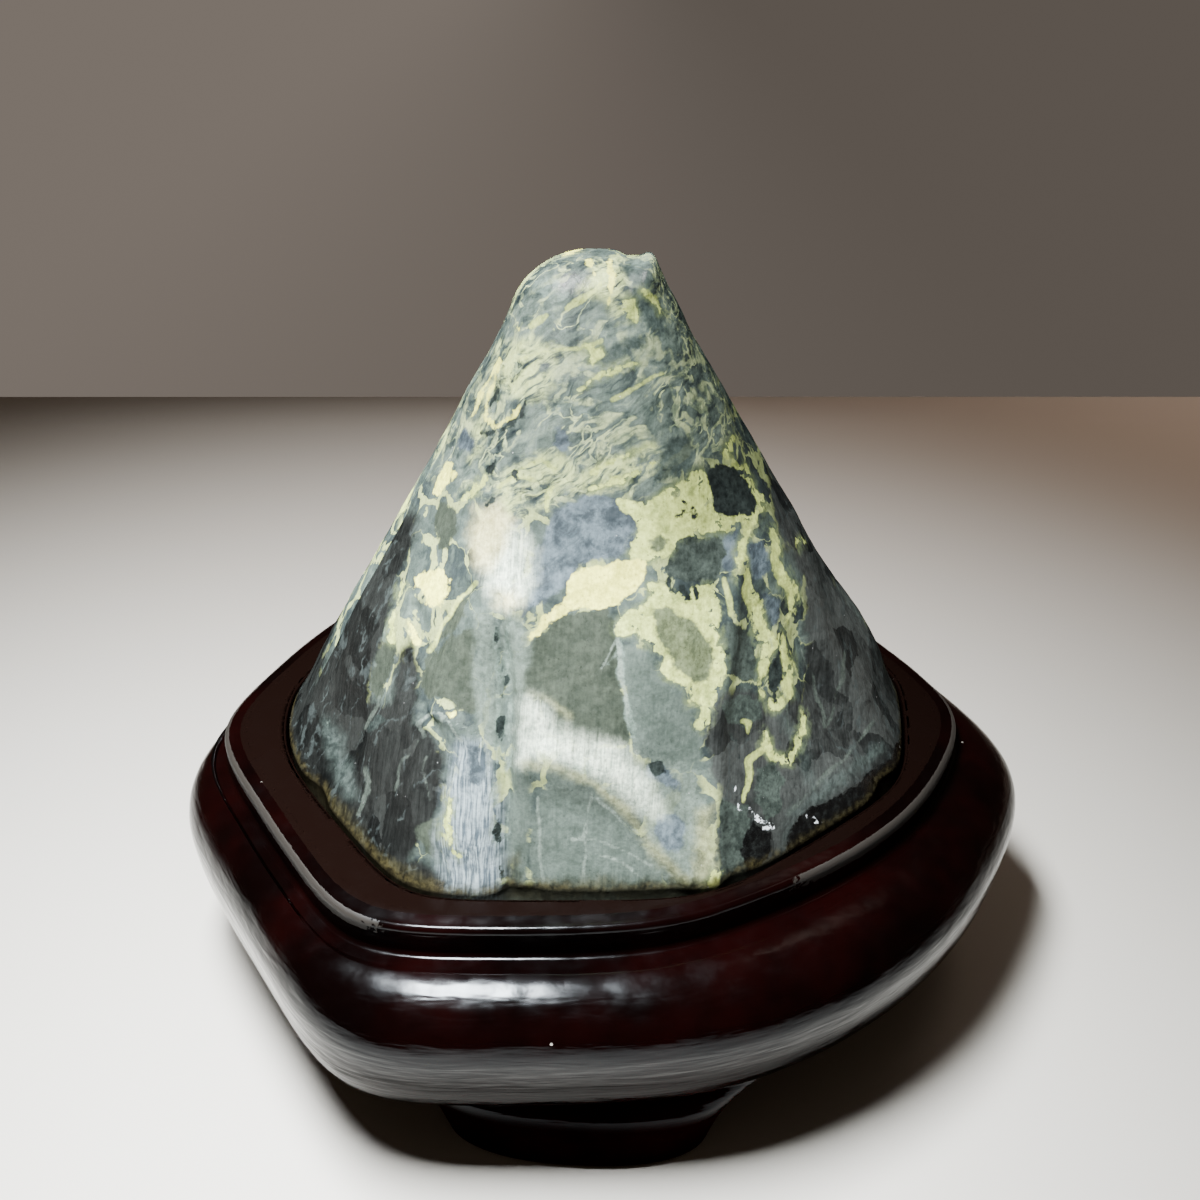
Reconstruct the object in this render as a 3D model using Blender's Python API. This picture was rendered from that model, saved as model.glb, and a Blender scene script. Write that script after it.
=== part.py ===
"""Scholar's rock on its carved stand.

A palm-size peaked stone, one solid, stands in a recess in the top of a low lacquered
wooden stand. The stand is one carved block: a stepped rim, a rounded body and three
bracket feet. Metres, +Z up, the origin on the table under the middle of the object.
"""

import math

import bmesh
import bpy
from mathutils import Matrix, Vector, noise

MM = 0.001

# Stand. One line for each carved side: its direction in degrees (0 = +X, -90 = front), the
# distance from the middle to the rim's edge, and how far the body bulges out past the rim.
STAND_HEIGHT = 41.0 * MM
STAND_SEGMENTS = 84
STAND_CORNER = 14
STAND_SIDES = (
    (-90, 44.0 * MM, 10.2 * MM),
    (-60, 43.8 * MM, 12.6 * MM),
    (-30, 50.2 * MM, 10.5 * MM),
    (27, 51.4 * MM, 8.2 * MM),
    (60, 50.6 * MM, 8.0 * MM),
    (90, 46.5 * MM, 9.0 * MM),
    (122, 50.8 * MM, 6.8 * MM),
    (157, 52.9 * MM, 4.3 * MM),
    (215, 50.6 * MM, 7.6 * MM),
)
RIM_BAND = 3.0 * MM
RIM_FALL = 0.7 * MM
RIM_EDGE = 0.8 * MM
RIM_EDGE_CORNER = (0.25 * RIM_EDGE, 0.3 * RIM_EDGE)
RIM_SIDE = 5.0 * MM
BULGE_REACH = 9.8 * MM
BULGE_ROUND = 8.0 * MM
BULGE_DEPTH = 12.8 * MM
BULGE_UPPER = 8.0 * MM
BULGE_LOWER = 15.0 * MM
BULGE_ARC = (80, 60, 40, 20, 0, -15, -30, -45, -58, -70)
BODY_DEPTH = 28.0 * MM
UNDERSIDE_INSET = 2.0 * MM

# Feet. One line for each ring of a foot: height, half width, reach outwards and inwards.
FOOT_DIRECTIONS = (-93.6, 29, 151)
FOOT_SEGMENTS = 28
FOOT_CENTRE = 42.0 * MM
FOOT_ROUNDNESS = 2.3
FOOT_RINGS = (
    (0.0 * MM, 17.6 * MM, 6.9 * MM, 3.9 * MM),
    (0.7 * MM, 18.3 * MM, 7.6 * MM, 4.5 * MM),
    (5.0 * MM, 19.4 * MM, 7.8 * MM, 4.5 * MM),
    (9.0 * MM, 21.2 * MM, 7.4 * MM, 4.5 * MM),
    (13.0 * MM, 25.0 * MM, 3.8 * MM, 4.5 * MM),
    (16.0 * MM, 25.0 * MM, 3.0 * MM, 4.5 * MM),
)

# Stone. One line for each broad face: its direction in degrees, its distance from the
# middle where it meets the rim, and its distance at the top.
STONE_HEIGHT = 70.0 * MM
STONE_SEGMENTS = 96
STONE_CORNER_FOOT = 17
STONE_CORNER_TOP = 8
STONE_FACES = (
    (-90, 38.4 * MM, 5.5 * MM),
    (-53, 39.6 * MM, 7.0 * MM),
    (-10, 46.0 * MM, 7.0 * MM),
    (38, 44.5 * MM, 6.5 * MM),
    (88, 38.0 * MM, 6.0 * MM),
    (140, 42.5 * MM, 6.5 * MM),
    (184, 47.2 * MM, 7.0 * MM),
    (218, 42.6 * MM, 7.4 * MM),
)
STONE_SIDE_RINGS = 23
STONE_SHOULDER = 66.5 * MM
STONE_CROWN_STEPS = (25, 50, 68, 80)
STONE_CROWN_FULLNESS = 0.6
STONE_EDGE = 1.5 * MM

# The stone's seat in the stand
SEAT_DEPTH = 6.0 * MM
SEAT_GAP = 0.3 * MM
SEAT_MARGIN = 0.4 * MM

# Relief on the stone. One line for each groove: direction at the rim, direction at its upper
# end, height of that end above the rim, half width and depth.
GROOVES = (
    (-104.5, -117, 36 * MM, 2.4 * MM, 1.9 * MM),
    (-64, -78, 30 * MM, 3.0 * MM, 0.8 * MM),
    (-22, -30, 34 * MM, 3.2 * MM, 1.3 * MM),
    (42, 50, 44 * MM, 3.4 * MM, 1.5 * MM),
    (72, 61, 38 * MM, 3.0 * MM, 1.7 * MM),
    (118, 128, 50 * MM, 3.6 * MM, 1.5 * MM),
    (166, 158, 34 * MM, 3.0 * MM, 1.4 * MM),
    (205, 212, 26 * MM, 3.0 * MM, 1.0 * MM),
)
GROOVE_FADE = 0.4
# One line for each lobe: direction, height above the rim, half width, half height, swelling.
LOBES = (
    (-116, 9 * MM, 6.5 * MM, 16 * MM, 1.3 * MM),
    (-84, 20 * MM, 10 * MM, 8 * MM, 1.2 * MM),
    (-118, 40 * MM, 6.0 * MM, 14 * MM, 1.0 * MM),
    (180, 66 * MM, 5.0 * MM, 3 * MM, 0.8 * MM),
    (-30, 14 * MM, 9.0 * MM, 9 * MM, -1.2 * MM),
    (10, 12 * MM, 9.0 * MM, 8 * MM, 1.0 * MM),
    (95, 20 * MM, 9.0 * MM, 10 * MM, 1.6 * MM),
    (145, 14 * MM, 8.0 * MM, 9 * MM, -1.4 * MM),
)
FACET_FROM_X = -10 * MM
FACET_TO_X = 14 * MM
FACET_TOP = 24 * MM
FACET_CUT = 1.3 * MM
FACET_LIP = 5.0 * MM
FACET_LEDGE_BEND = 1.9
FACET_END_FADE = 1 / 6
# One line for each notch (or peak, where it is negative) across the top: x, half width, depth.
NOTCHES = (
    (3.0 * MM, 1.7 * MM, 1.6 * MM),
    (6.4 * MM, 1.9 * MM, -1.4 * MM),
)
# One line for each size of unevenness: spacing and height.
UNEVENNESS = (
    (26 * MM, 0.9 * MM),
    (10 * MM, 0.3 * MM),
)
RAISED_FROM = 8 * MM
CROWN_FADE = 6 * MM
NOTCH_FADE = 3 * MM
NOTCH_FROM = STONE_SHOULDER - 1 * MM

SMOOTH_ANGLE = 35


def smooth(value):
    """0 below 0, 1 above 1, and an even rise between."""
    value = min(max(value, 0.0), 1.0)
    return value * value * (3 - 2 * value)


def bell(distance, half_width):
    return math.exp(-((distance / half_width) ** 2))


def cornered_radius(sides, azimuth, power):
    """Radius of a round-cornered polygon in one direction, from its sides' (direction, distance)."""
    total = 0.0
    for direction, distance in sides:
        facing = math.cos(azimuth - math.radians(direction))
        if facing > 0:
            total += (facing / distance) ** power
    return total ** (-1 / power)


def set_ring(vertices, radius_at, height):
    for vertex in vertices:
        azimuth = math.atan2(vertex.co.y, vertex.co.x)
        radius = radius_at(azimuth)
        vertex.co = (radius * math.cos(azimuth), radius * math.sin(azimuth), height)


def stack_rings(rings, segments):
    """A closed body from its rings, bottom to top, each a (radius function, height)."""
    body = bmesh.new()
    bmesh.ops.create_circle(body, cap_ends=True, segments=segments, radius=1)
    floor = cap = body.faces[:][0]
    set_ring(cap.verts, *rings[0])
    for radius_at, height in rings[1:]:
        below = cap
        grown = bmesh.ops.extrude_face_region(body, geom=[below])["geom"]
        cap = next(item for item in grown if isinstance(item, bmesh.types.BMFace))
        set_ring(cap.verts, radius_at, height)
        if below is not floor:
            body.faces.remove(below)
    bmesh.ops.recalc_face_normals(body, faces=body.faces[:])
    return body


def stand_ring(share, inset, depth):
    """One ring of the stand: the rim's outline moved out by a share of the bulge, less an inset."""

    def radius_at(azimuth):
        sides = [(way, rim + share * bulge - inset) for way, rim, bulge in STAND_SIDES]
        return cornered_radius(sides, azimuth, STAND_CORNER)

    return radius_at, STAND_HEIGHT - depth


def body_bulge():
    """The rings of the rounded body, from its top to its lower edge."""
    rings = []
    for angle in BULGE_ARC:
        turn = math.radians(angle)
        tall = BULGE_UPPER if angle > 0 else BULGE_LOWER
        out = BULGE_REACH - BULGE_ROUND * (1 - math.cos(turn))
        rings.append(stand_ring(out / BULGE_REACH, 0, BULGE_DEPTH - tall * math.sin(turn)))
    return rings


def stand_body():
    corner_inset, corner_drop = RIM_EDGE_CORNER
    rings = [
        stand_ring(0, RIM_BAND, 0),
        stand_ring(0, RIM_EDGE, RIM_FALL),
        stand_ring(0, corner_inset, RIM_FALL + corner_drop),
        stand_ring(0, 0, RIM_FALL + RIM_EDGE),
        stand_ring(0, 0, RIM_SIDE),
        *body_bulge(),
        stand_ring(0, UNDERSIDE_INSET, BODY_DEPTH),
    ]
    return stack_rings(rings[::-1], STAND_SEGMENTS)


def foot_ring(height, half_width, outwards, inwards):
    def radius_at(azimuth):
        across = abs(math.cos(azimuth)) / half_width
        along = abs(math.sin(azimuth)) / (outwards if math.sin(azimuth) < 0 else inwards)
        power = FOOT_ROUNDNESS
        return (across**power + along**power) ** (-1 / power)

    return radius_at, height


def foot(direction):
    """A bracket foot, its outer face towards the given direction."""
    body = stack_rings([foot_ring(*ring) for ring in FOOT_RINGS], FOOT_SEGMENTS)
    move = Matrix.Translation((0, -FOOT_CENTRE, 0))
    turn = Matrix.Rotation(math.radians(direction + 90), 4, "Z")
    body.transform(turn @ move)
    return body


def seat_cutter():
    """The recess: the stone's outline at the rim, a little larger, cut straight down."""

    def radius_at(azimuth):
        sides = [(way, foot + SEAT_MARGIN) for way, foot, _ in STONE_FACES]
        return cornered_radius(sides, azimuth, STONE_CORNER_FOOT)

    floor = STAND_HEIGHT - SEAT_DEPTH
    return stack_rings([(radius_at, floor), (radius_at, STAND_HEIGHT + SEAT_DEPTH)], STONE_SEGMENTS)


def stone_ring(height, inset=0.0, crown=1.0):
    """One ring of the plain stone. Its height counts from the rim, and below it the sides are upright."""
    share = max(height, 0.0) / STONE_HEIGHT
    corner = STONE_CORNER_FOOT + (STONE_CORNER_TOP - STONE_CORNER_FOOT) * share

    def radius_at(azimuth):
        sides = [(way, foot + (top - foot) * share - inset) for way, foot, top in STONE_FACES]
        return crown * cornered_radius(sides, azimuth, corner)

    return radius_at, STAND_HEIGHT + height


def plain_stone():
    floor = SEAT_GAP - SEAT_DEPTH
    rings = [stone_ring(floor, STONE_EDGE), stone_ring(floor + STONE_EDGE)]
    for step in range(STONE_SIDE_RINGS):
        rings.append(stone_ring(STONE_SHOULDER * step / (STONE_SIDE_RINGS - 1)))
    for angle in STONE_CROWN_STEPS:
        turn = math.radians(angle)
        height = STONE_SHOULDER + (STONE_HEIGHT - STONE_SHOULDER) * math.sin(turn)
        rings.append(stone_ring(height, crown=math.cos(turn) ** STONE_CROWN_FULLNESS))
    return stack_rings(rings, STONE_SEGMENTS)


def turn_between(azimuth, direction):
    """The angle from a direction in degrees to an azimuth, in radians within half a turn."""
    return math.remainder(azimuth - math.radians(direction), 2 * math.pi)


def groove_depth(azimuth, radius, height):
    depth = 0.0
    for foot, end, end_height, half_width, deepest in GROOVES:
        run = height / end_height
        across = radius * turn_between(azimuth, foot + (end - foot) * min(max(run, 0), 1))
        depth += deepest * bell(across, half_width) * smooth((1 - run) / GROOVE_FADE)
    return depth


def lobe_swelling(azimuth, radius, height):
    swelling = 0.0
    for direction, middle, half_width, half_height, most in LOBES:
        across = radius * turn_between(azimuth, direction)
        swelling += most * bell(across, half_width) * bell(height - middle, half_height)
    return swelling


def facet_cut(place, height):
    """How far the lower front is cut back, under a curved ledge that runs down to the right."""
    if place.y > 0:
        return 0.0
    run = (place.x - FACET_FROM_X) / (FACET_TO_X - FACET_FROM_X)
    ledge = FACET_TOP * (1 - min(max(run, 0.0), 1.0) ** FACET_LEDGE_BEND)
    ends = smooth(run / FACET_END_FADE) * smooth((1 - run) / FACET_END_FADE)
    return FACET_CUT * ends * smooth((ledge - height) / FACET_LIP)


def unevenness(place):
    total = 0.0
    for spacing, size in UNEVENNESS:
        total += size * noise.noise(place / spacing)
    return total


def shape_stone(body):
    """Relief on the plain stone. Nothing stands out near the rim, so the stone stays inside its seat."""
    for vertex in body.verts:
        place = vertex.co.copy()
        height = place.z - STAND_HEIGHT
        radius = math.hypot(place.x, place.y)
        azimuth = math.atan2(place.y, place.x)
        out = Vector((place.x, place.y, 0)).normalized()
        above = smooth(height / RAISED_FROM)
        below_crown = smooth((STONE_HEIGHT - height) / CROWN_FADE)
        raised = lobe_swelling(azimuth, radius, height) + unevenness(place)
        cut = groove_depth(azimuth, radius, height) + facet_cut(place, height)
        in_view = smooth((height + SEAT_DEPTH) / SEAT_DEPTH)
        vertex.co += out * (above * below_crown * raised - in_view * below_crown * cut)
        crown = smooth((height - NOTCH_FROM) / NOTCH_FADE)
        for middle, half_width, depth in NOTCHES:
            vertex.co.z -= crown * depth * bell(place.x - middle, half_width)


def stone_body():
    body = plain_stone()
    shape_stone(body)
    top = max(body.faces, key=lambda face: face.calc_center_median().z)
    bmesh.ops.poke(body, faces=[top])
    return body


def add_object(name, body, collection, material=None):
    mesh = bpy.data.meshes.new(name)
    body.to_mesh(mesh)
    body.free()
    mesh.shade_smooth()
    mesh.set_sharp_from_angle(angle=math.radians(SMOOTH_ANGLE))
    thing = bpy.data.objects.new(name, mesh)
    collection.objects.link(thing)
    if material:
        mesh.materials.append(material)
    return thing


def new_collection(name):
    collection = bpy.data.collections.new(name)
    bpy.context.scene.collection.children.link(collection)
    return collection


def new_material(name, colour, roughness):
    material = bpy.data.materials.new(name)
    material.use_nodes = True
    shader = material.node_tree.nodes["Principled BSDF"]
    shader.inputs["Base Color"].default_value = (*colour, 1)
    shader.inputs["Roughness"].default_value = roughness
    shader.inputs["Metallic"].default_value = 0
    return material


def add_boolean(thing, helper, operation):
    """Join or cut with another object, which stays out of the model itself."""
    helper.hide_render = True
    helper.display_type = "WIRE"
    modifier = thing.modifiers.new(helper.name, "BOOLEAN")
    modifier.operation = operation
    modifier.object = helper
    modifier.solver = "EXACT"


def clear_scene():
    for thing in list(bpy.data.objects):
        bpy.data.objects.remove(thing)


def build_stand(collection, helpers):
    lacquer = new_material("dark_red_lacquer", (0.045, 0.008, 0.006), 0.12)
    stand = add_object("stand", stand_body(), collection, lacquer)
    for number, direction in enumerate(FOOT_DIRECTIONS, 1):
        helper = add_object(f"foot_{number}", foot(direction), helpers)
        add_boolean(stand, helper, "UNION")
    add_boolean(stand, add_object("seat_cutter", seat_cutter(), helpers), "DIFFERENCE")
    return stand


def build_stone(collection):
    veined = new_material("veined_stone", (0.27, 0.30, 0.26), 0.42)
    return add_object("stone", stone_body(), collection, veined)


def centre_on_footprint(things, helpers):
    """Stand everything on one empty, moved so that the stand's footprint is centred on the origin."""
    corners = [corner.co for corner in bpy.data.objects["stand"].data.vertices]
    middle_x = (min(c.x for c in corners) + max(c.x for c in corners)) / 2
    middle_y = (min(c.y for c in corners) + max(c.y for c in corners)) / 2
    root = bpy.data.objects.new("table_point", None)
    bpy.context.scene.collection.objects.link(root)
    root.location = (-middle_x, -middle_y, 0)
    for thing in [*things, *helpers]:
        thing.parent = root


def main():
    clear_scene()
    parts = new_collection("scholars_rock")
    helpers = new_collection("cutters")
    stand = build_stand(parts, helpers)
    stone = build_stone(parts)
    centre_on_footprint([stand, stone], helpers.objects)


main()
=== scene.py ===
import math

import bmesh
import bpy
import numpy as np
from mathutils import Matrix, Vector, noise


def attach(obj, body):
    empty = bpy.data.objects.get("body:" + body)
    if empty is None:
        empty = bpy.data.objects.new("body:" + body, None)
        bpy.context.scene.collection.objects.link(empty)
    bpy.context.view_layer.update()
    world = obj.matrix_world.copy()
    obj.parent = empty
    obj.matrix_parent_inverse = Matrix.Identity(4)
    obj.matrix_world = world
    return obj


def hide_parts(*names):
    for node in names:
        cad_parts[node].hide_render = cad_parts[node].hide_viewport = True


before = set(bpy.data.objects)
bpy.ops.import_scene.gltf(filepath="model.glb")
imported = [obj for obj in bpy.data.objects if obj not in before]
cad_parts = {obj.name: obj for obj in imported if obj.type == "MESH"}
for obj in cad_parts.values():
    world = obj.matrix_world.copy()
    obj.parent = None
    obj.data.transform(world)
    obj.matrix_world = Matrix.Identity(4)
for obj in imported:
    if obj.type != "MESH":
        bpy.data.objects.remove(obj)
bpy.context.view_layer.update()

mm = 0.001

# the camera, which looks down on the front

view = {
    "place": (-0.00077, -0.14796, 0.1533),
    "pitch": 32.0,       # degrees below level
    "lens": 36.09,
    "sensor": 36.0,
    "near": 0.01,
    "size": 1200,        # the strokes and patches below are drawn in this square view, in its pixels
}


def makeCamera():
    data = bpy.data.cameras.new("frontView")
    data.lens = view["lens"]
    data.sensor_width = view["sensor"]
    data.clip_start = view["near"]
    camera = bpy.data.objects.new("frontView", data)
    camera.location = view["place"]
    camera.rotation_euler = (math.radians(90 - view["pitch"]), 0, 0)
    bpy.context.scene.collection.objects.link(camera)
    bpy.context.scene.camera = camera


def toView(points):      # where points in metres fall in the front view
    away = points - np.array(view["place"])
    tilt = math.radians(view["pitch"])
    ahead = away[:, 1] * math.cos(tilt) - away[:, 2] * math.sin(tilt)
    up = away[:, 1] * math.sin(tilt) + away[:, 2] * math.cos(tilt)
    scale = view["size"] * view["lens"] / view["sensor"]
    middle = view["size"] / 2
    return np.column_stack((middle + scale * away[:, 0] / ahead, middle - scale * up / ahead))


makeCamera()
print("camera placed")

# shapes that the stand and the stone share

axisPlace = (-0.00127, -0.00046, 0.0)   # their own upright axis in the frame
weld = 1e-6


def smooth(value):
    value = np.clip(value, 0.0, 1.0)
    return value * value * (3 - 2 * value)


def bell(distance, halfWidth):
    return np.exp(-((distance / halfWidth) ** 2))


def arc(start, end, count):      # evenly spaced angles, given in degrees
    return np.radians(np.linspace(start, end, count))


def turnBetween(azimuth, direction):
    return np.remainder(azimuth - np.radians(direction) + math.pi, 2 * math.pi) - math.pi


def corneredRadius(directions, distances, azimuth, power):
    # radius of a round-cornered polygon: distances holds one column for each side
    facing = np.clip(np.cos(azimuth[:, None] - np.radians(directions)), 0, None)
    power = np.broadcast_to(power, azimuth.shape)[:, None]
    return ((facing / distances) ** power).sum(axis=1) ** (-1 / power[:, 0])


def aroundAxis(radius, azimuth, height):
    return np.column_stack((radius * np.cos(azimuth), radius * np.sin(azimuth), height))


def ringTube(name, rings, around):
    # a closed body of rings round the z axis: every vertex's z says how far up the stack it is
    body = bmesh.new()
    ends = [body.verts.new((1, 0, 0)), body.verts.new((1, 0, 1))]
    edge = body.edges.new(ends)
    bmesh.ops.subdivide_edges(body, edges=[edge], cuts=rings - 2)
    bmesh.ops.spin(body, geom=body.verts[:] + body.edges[:], cent=(0, 0, 0), axis=(0, 0, 1),
                   dvec=(0, 0, 0), angle=2 * math.pi, steps=around, use_merge=True,
                   use_normal_flip=False, use_duplicate=False)
    bmesh.ops.remove_doubles(body, verts=body.verts[:], dist=weld)
    rims = [e for e in body.edges if e.is_boundary]
    caps = bmesh.ops.holes_fill(body, edges=rims, sides=0)["faces"]
    bmesh.ops.poke(body, faces=caps)
    bmesh.ops.recalc_face_normals(body, faces=body.faces[:])
    mesh = bpy.data.meshes.new(name)
    body.to_mesh(mesh)
    body.free()
    piece = bpy.data.objects.new(name, mesh)
    bpy.context.scene.collection.objects.link(piece)
    return piece


def ringPlaces(piece, rings):
    # each vertex's ring, its direction and whether it is the middle of an end
    points = np.zeros(len(piece.data.vertices) * 3, np.float32)
    piece.data.vertices.foreach_get("co", points)
    x, y, z = points.reshape(-1, 3).astype(float).T
    return np.rint(z * (rings - 1)).astype(int), np.arctan2(y, x), np.hypot(x, y) < 0.5


def writePoints(piece, points):
    moved = points + np.array(axisPlace)
    piece.data.vertices.foreach_set("co", moved.astype(np.float32).ravel())
    piece.data.update()
    piece.data.shade_smooth()


def addField(piece, name, values):      # one number for each vertex, for the material to read
    field = piece.data.attributes.new(name, "FLOAT", "POINT")
    field.data.foreach_set("value", values.astype(np.float32))


# the stand; depths count down from the top of its rim

stand = {
    "height": 41.0 * mm,
    "around": 420,
    "corner": 14,
    "sides": (           # direction in degrees, distance to the rim's edge and bulge past it in mm
        (-90, 44.0, 10.2), (-60, 43.8, 12.6), (-30, 50.2, 10.5), (27, 51.4, 8.2), (60, 50.6, 8.0),
        (90, 46.5, 9.0), (122, 50.8, 6.8), (157, 52.9, 4.3), (215, 50.6, 7.6),
    ),
    "bodyDepth": 28.0 * mm,
    "underInsets": (44 * mm, 30 * mm, 16 * mm, 6 * mm, 3 * mm),
    "underShare": 0.4,
    "underInset": 2.0 * mm,
    "underBend": (0.4, 0.6),     # curved and straight share of the rise out of the underside
    "bulgeReach": 9.8 * mm,
    "bulgeRound": 8.0 * mm,
    "bulgeDepth": 12.8 * mm,
    "bulgeUpper": 8.0 * mm,
    "bulgeLower": 15.0 * mm,
    "bulgeTop": 84,              # degrees, where the bulge leaves the ledge
    "bulgeFoot": -70,
    "ledgeReaches": (2.4 * mm, 2.0 * mm, 1.6 * mm, 1.2 * mm, 0.9 * mm),
    "ledgeDrop": 0.05 * mm,
    "fillet": 0.7 * mm,          # hollow between the rim's side and the ledge
    "filletGap": 0.4 * mm,
    "edgeGap": 0.2 * mm,
    "rimFall": 0.25 * mm,        # the rim's top falls this much to its edge
    "rimEdge": 0.95 * mm,        # radius of the edge
    "rimTurn": 68,               # degrees of it
    "lipBand": 2.7 * mm,         # flat inner band of the rim, measured in from its edge
    "bandBend": (0.55, 0.45),    # and of the band's fall
    "seatDepth": 6.0 * mm,
    "seatMargin": 0.5 * mm,
    "seatEdge": 0.35 * mm,
    "seatSteps": (4.8 * mm, 3.0 * mm, 0.5 * mm, 0.0),    # rings above the recess's floor
    "seatInsets": (6 * mm, 18 * mm, 30 * mm),            # and on it
    "steps": {"under": 8, "bulge": 76, "fillet": 9, "side": 6, "edge": 10, "band": 12, "lip": 9, "seat": 6},
    "waver": 0.16 * mm,          # hand-carved unevenness
    "waverScale": (45, 2.7),     # of the coarse noise, and how much finer the second one is
    "waverShare": (1.2, 0.5),
    "dullFrom": 10.5 * mm,       # the polish is thinner below this depth
    "dullOver": 7.5 * mm,
    "dullMost": 0.86,
    "smoothFrom": 8.0 * mm,      # and finer below this one
    "smoothOver": 2.0 * mm,
    "lipFrom": 0.8,              # share of the band where the matt lip starts
    "lipDepth": 1.0 * mm,
    # the worn edges at the sides are also painted lighter grey, a painted reflection of the table on the
    # scuff
    "wornInset": (-0.01 * mm, 0.7 * mm),
    "wornDepth": 2.2 * mm,
    "wornAway": (-88, 27, 16),   # not worn within 27 degrees of the front, fully worn 16 further on
}

seatSides = (            # the stone's outline: direction, distance at the rim and at the top in mm
    (-90, 38.4, 5.5), (-53, 39.6, 7.0), (-10, 46.0, 7.0), (38, 44.5, 6.5),
    (88, 38.0, 6.0), (140, 42.5, 6.5), (184, 47.2, 7.0), (218, 42.6, 7.4),
)
seatCorner = 17


def bodyRings():      # from the underside's middle out and up to the ledge
    s = stand
    rings = [("body", s["underShare"], inset, s["bodyDepth"]) for inset in s["underInsets"]]
    turns = arc(s["bulgeFoot"], s["bulgeTop"], s["steps"]["bulge"])
    lowShare = (s["bulgeReach"] - s["bulgeRound"] * (1 - math.cos(turns[0]))) / s["bulgeReach"]
    lowDepth = s["bulgeDepth"] - s["bulgeLower"] * math.sin(turns[0])
    curved, straight = s["underBend"]
    for step in np.linspace(0, 1, s["steps"]["under"]):
        bend = smooth(step) * curved + step * straight
        depth = s["bodyDepth"] + (lowDepth - s["bodyDepth"]) * bend
        rings.append(("body", lowShare * step, s["underInset"] * (1 - step), depth))
    for turn in turns[1:]:
        tall = s["bulgeUpper"] if turn > 0 else s["bulgeLower"]
        out = s["bulgeReach"] - s["bulgeRound"] * (1 - math.cos(turn))
        rings.append(("body", out / s["bulgeReach"], 0, s["bulgeDepth"] - tall * math.sin(turn)))
    return rings


def rimRings(ledgeDepth):      # over the ledge, up the rim's side, round its edge and across its band
    s = stand
    ledge = ledgeDepth + s["ledgeDrop"]
    rings = [("body", 0, -reach, ledge) for reach in s["ledgeReaches"]]
    for turn in arc(0, 90, s["steps"]["fillet"]):
        reach, rise = s["fillet"] * (1 - math.sin(turn)), s["fillet"] * (1 - math.cos(turn))
        rings.append(("body", 0, -reach, ledge - rise))
    low = ledgeDepth - s["fillet"] - s["filletGap"]
    high = s["rimFall"] + s["rimEdge"] + s["edgeGap"]
    rings += [("body", 0, 0, depth) for depth in np.linspace(low, high, s["steps"]["side"])]
    for turn in arc(0, s["rimTurn"], s["steps"]["edge"]):
        inset = s["rimEdge"] * (1 - math.cos(turn))
        rings.append(("body", 0, inset, s["rimFall"] + s["rimEdge"] * (1 - math.sin(turn))))
    start, fall = rings[-1][2], rings[-1][3]
    curved, straight = s["bandBend"]
    for step in np.linspace(0, 1, s["steps"]["band"])[1:]:
        slope = 1 - smooth(step) * curved - step * straight
        rings.append(("body", 0, start + (s["lipBand"] - start) * step, fall * slope))
    return rings


def seatRings():      # across the lip, over the recess's edge and down to its floor
    s = stand
    rings = [("lip", step, 0, 0) for step in np.linspace(0, 1, s["steps"]["lip"])[1:]]
    for turn in arc(0, 90, s["steps"]["seat"]):
        reach, fall = s["seatEdge"] * (1 - math.sin(turn)), s["seatEdge"] * (1 - math.cos(turn))
        rings.append(("seat", 0, -reach, fall))
    rings += [("seat", 0, 0, s["seatDepth"] - step) for step in s["seatSteps"]]
    return rings + [("seat", 0, inset, s["seatDepth"]) for inset in s["seatInsets"]]


def standRadius(kinds, share, inset, azimuth):
    directions, rim, bulge = np.array(stand["sides"]).T
    seatWays, seatReach = np.array(seatSides).T[:2]
    rim, bulge, seatReach = rim * mm, bulge * mm, seatReach * mm
    swell = share[:, None] * bulge * (kinds != "lip")[:, None]
    outline = corneredRadius(directions, rim + swell - inset[:, None], azimuth, stand["corner"])
    inward = np.where(kinds == "seat", inset, 0)[:, None]
    seat = corneredRadius(seatWays, seatReach + stand["seatMargin"] - inward, azimuth, seatCorner)
    bandReach = np.broadcast_to(rim - stand["lipBand"], (len(azimuth), len(rim)))
    band = corneredRadius(directions, bandReach, azimuth, stand["corner"])
    lip = band + (seat + stand["seatEdge"] - band) * share
    return np.where(kinds == "body", outline, np.where(kinds == "seat", seat, lip))


def carveUnevenly(placed, radius, carved):
    scale, finer = stand["waverScale"]
    coarse, fine = stand["waverShare"]
    for index in np.nonzero(carved)[0]:
        spot = Vector(placed[index]) * scale
        push = noise.noise(spot) * coarse + noise.noise(spot * finer) * fine
        placed[index, :2] *= 1 + stand["waver"] * push / radius[index]


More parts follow.
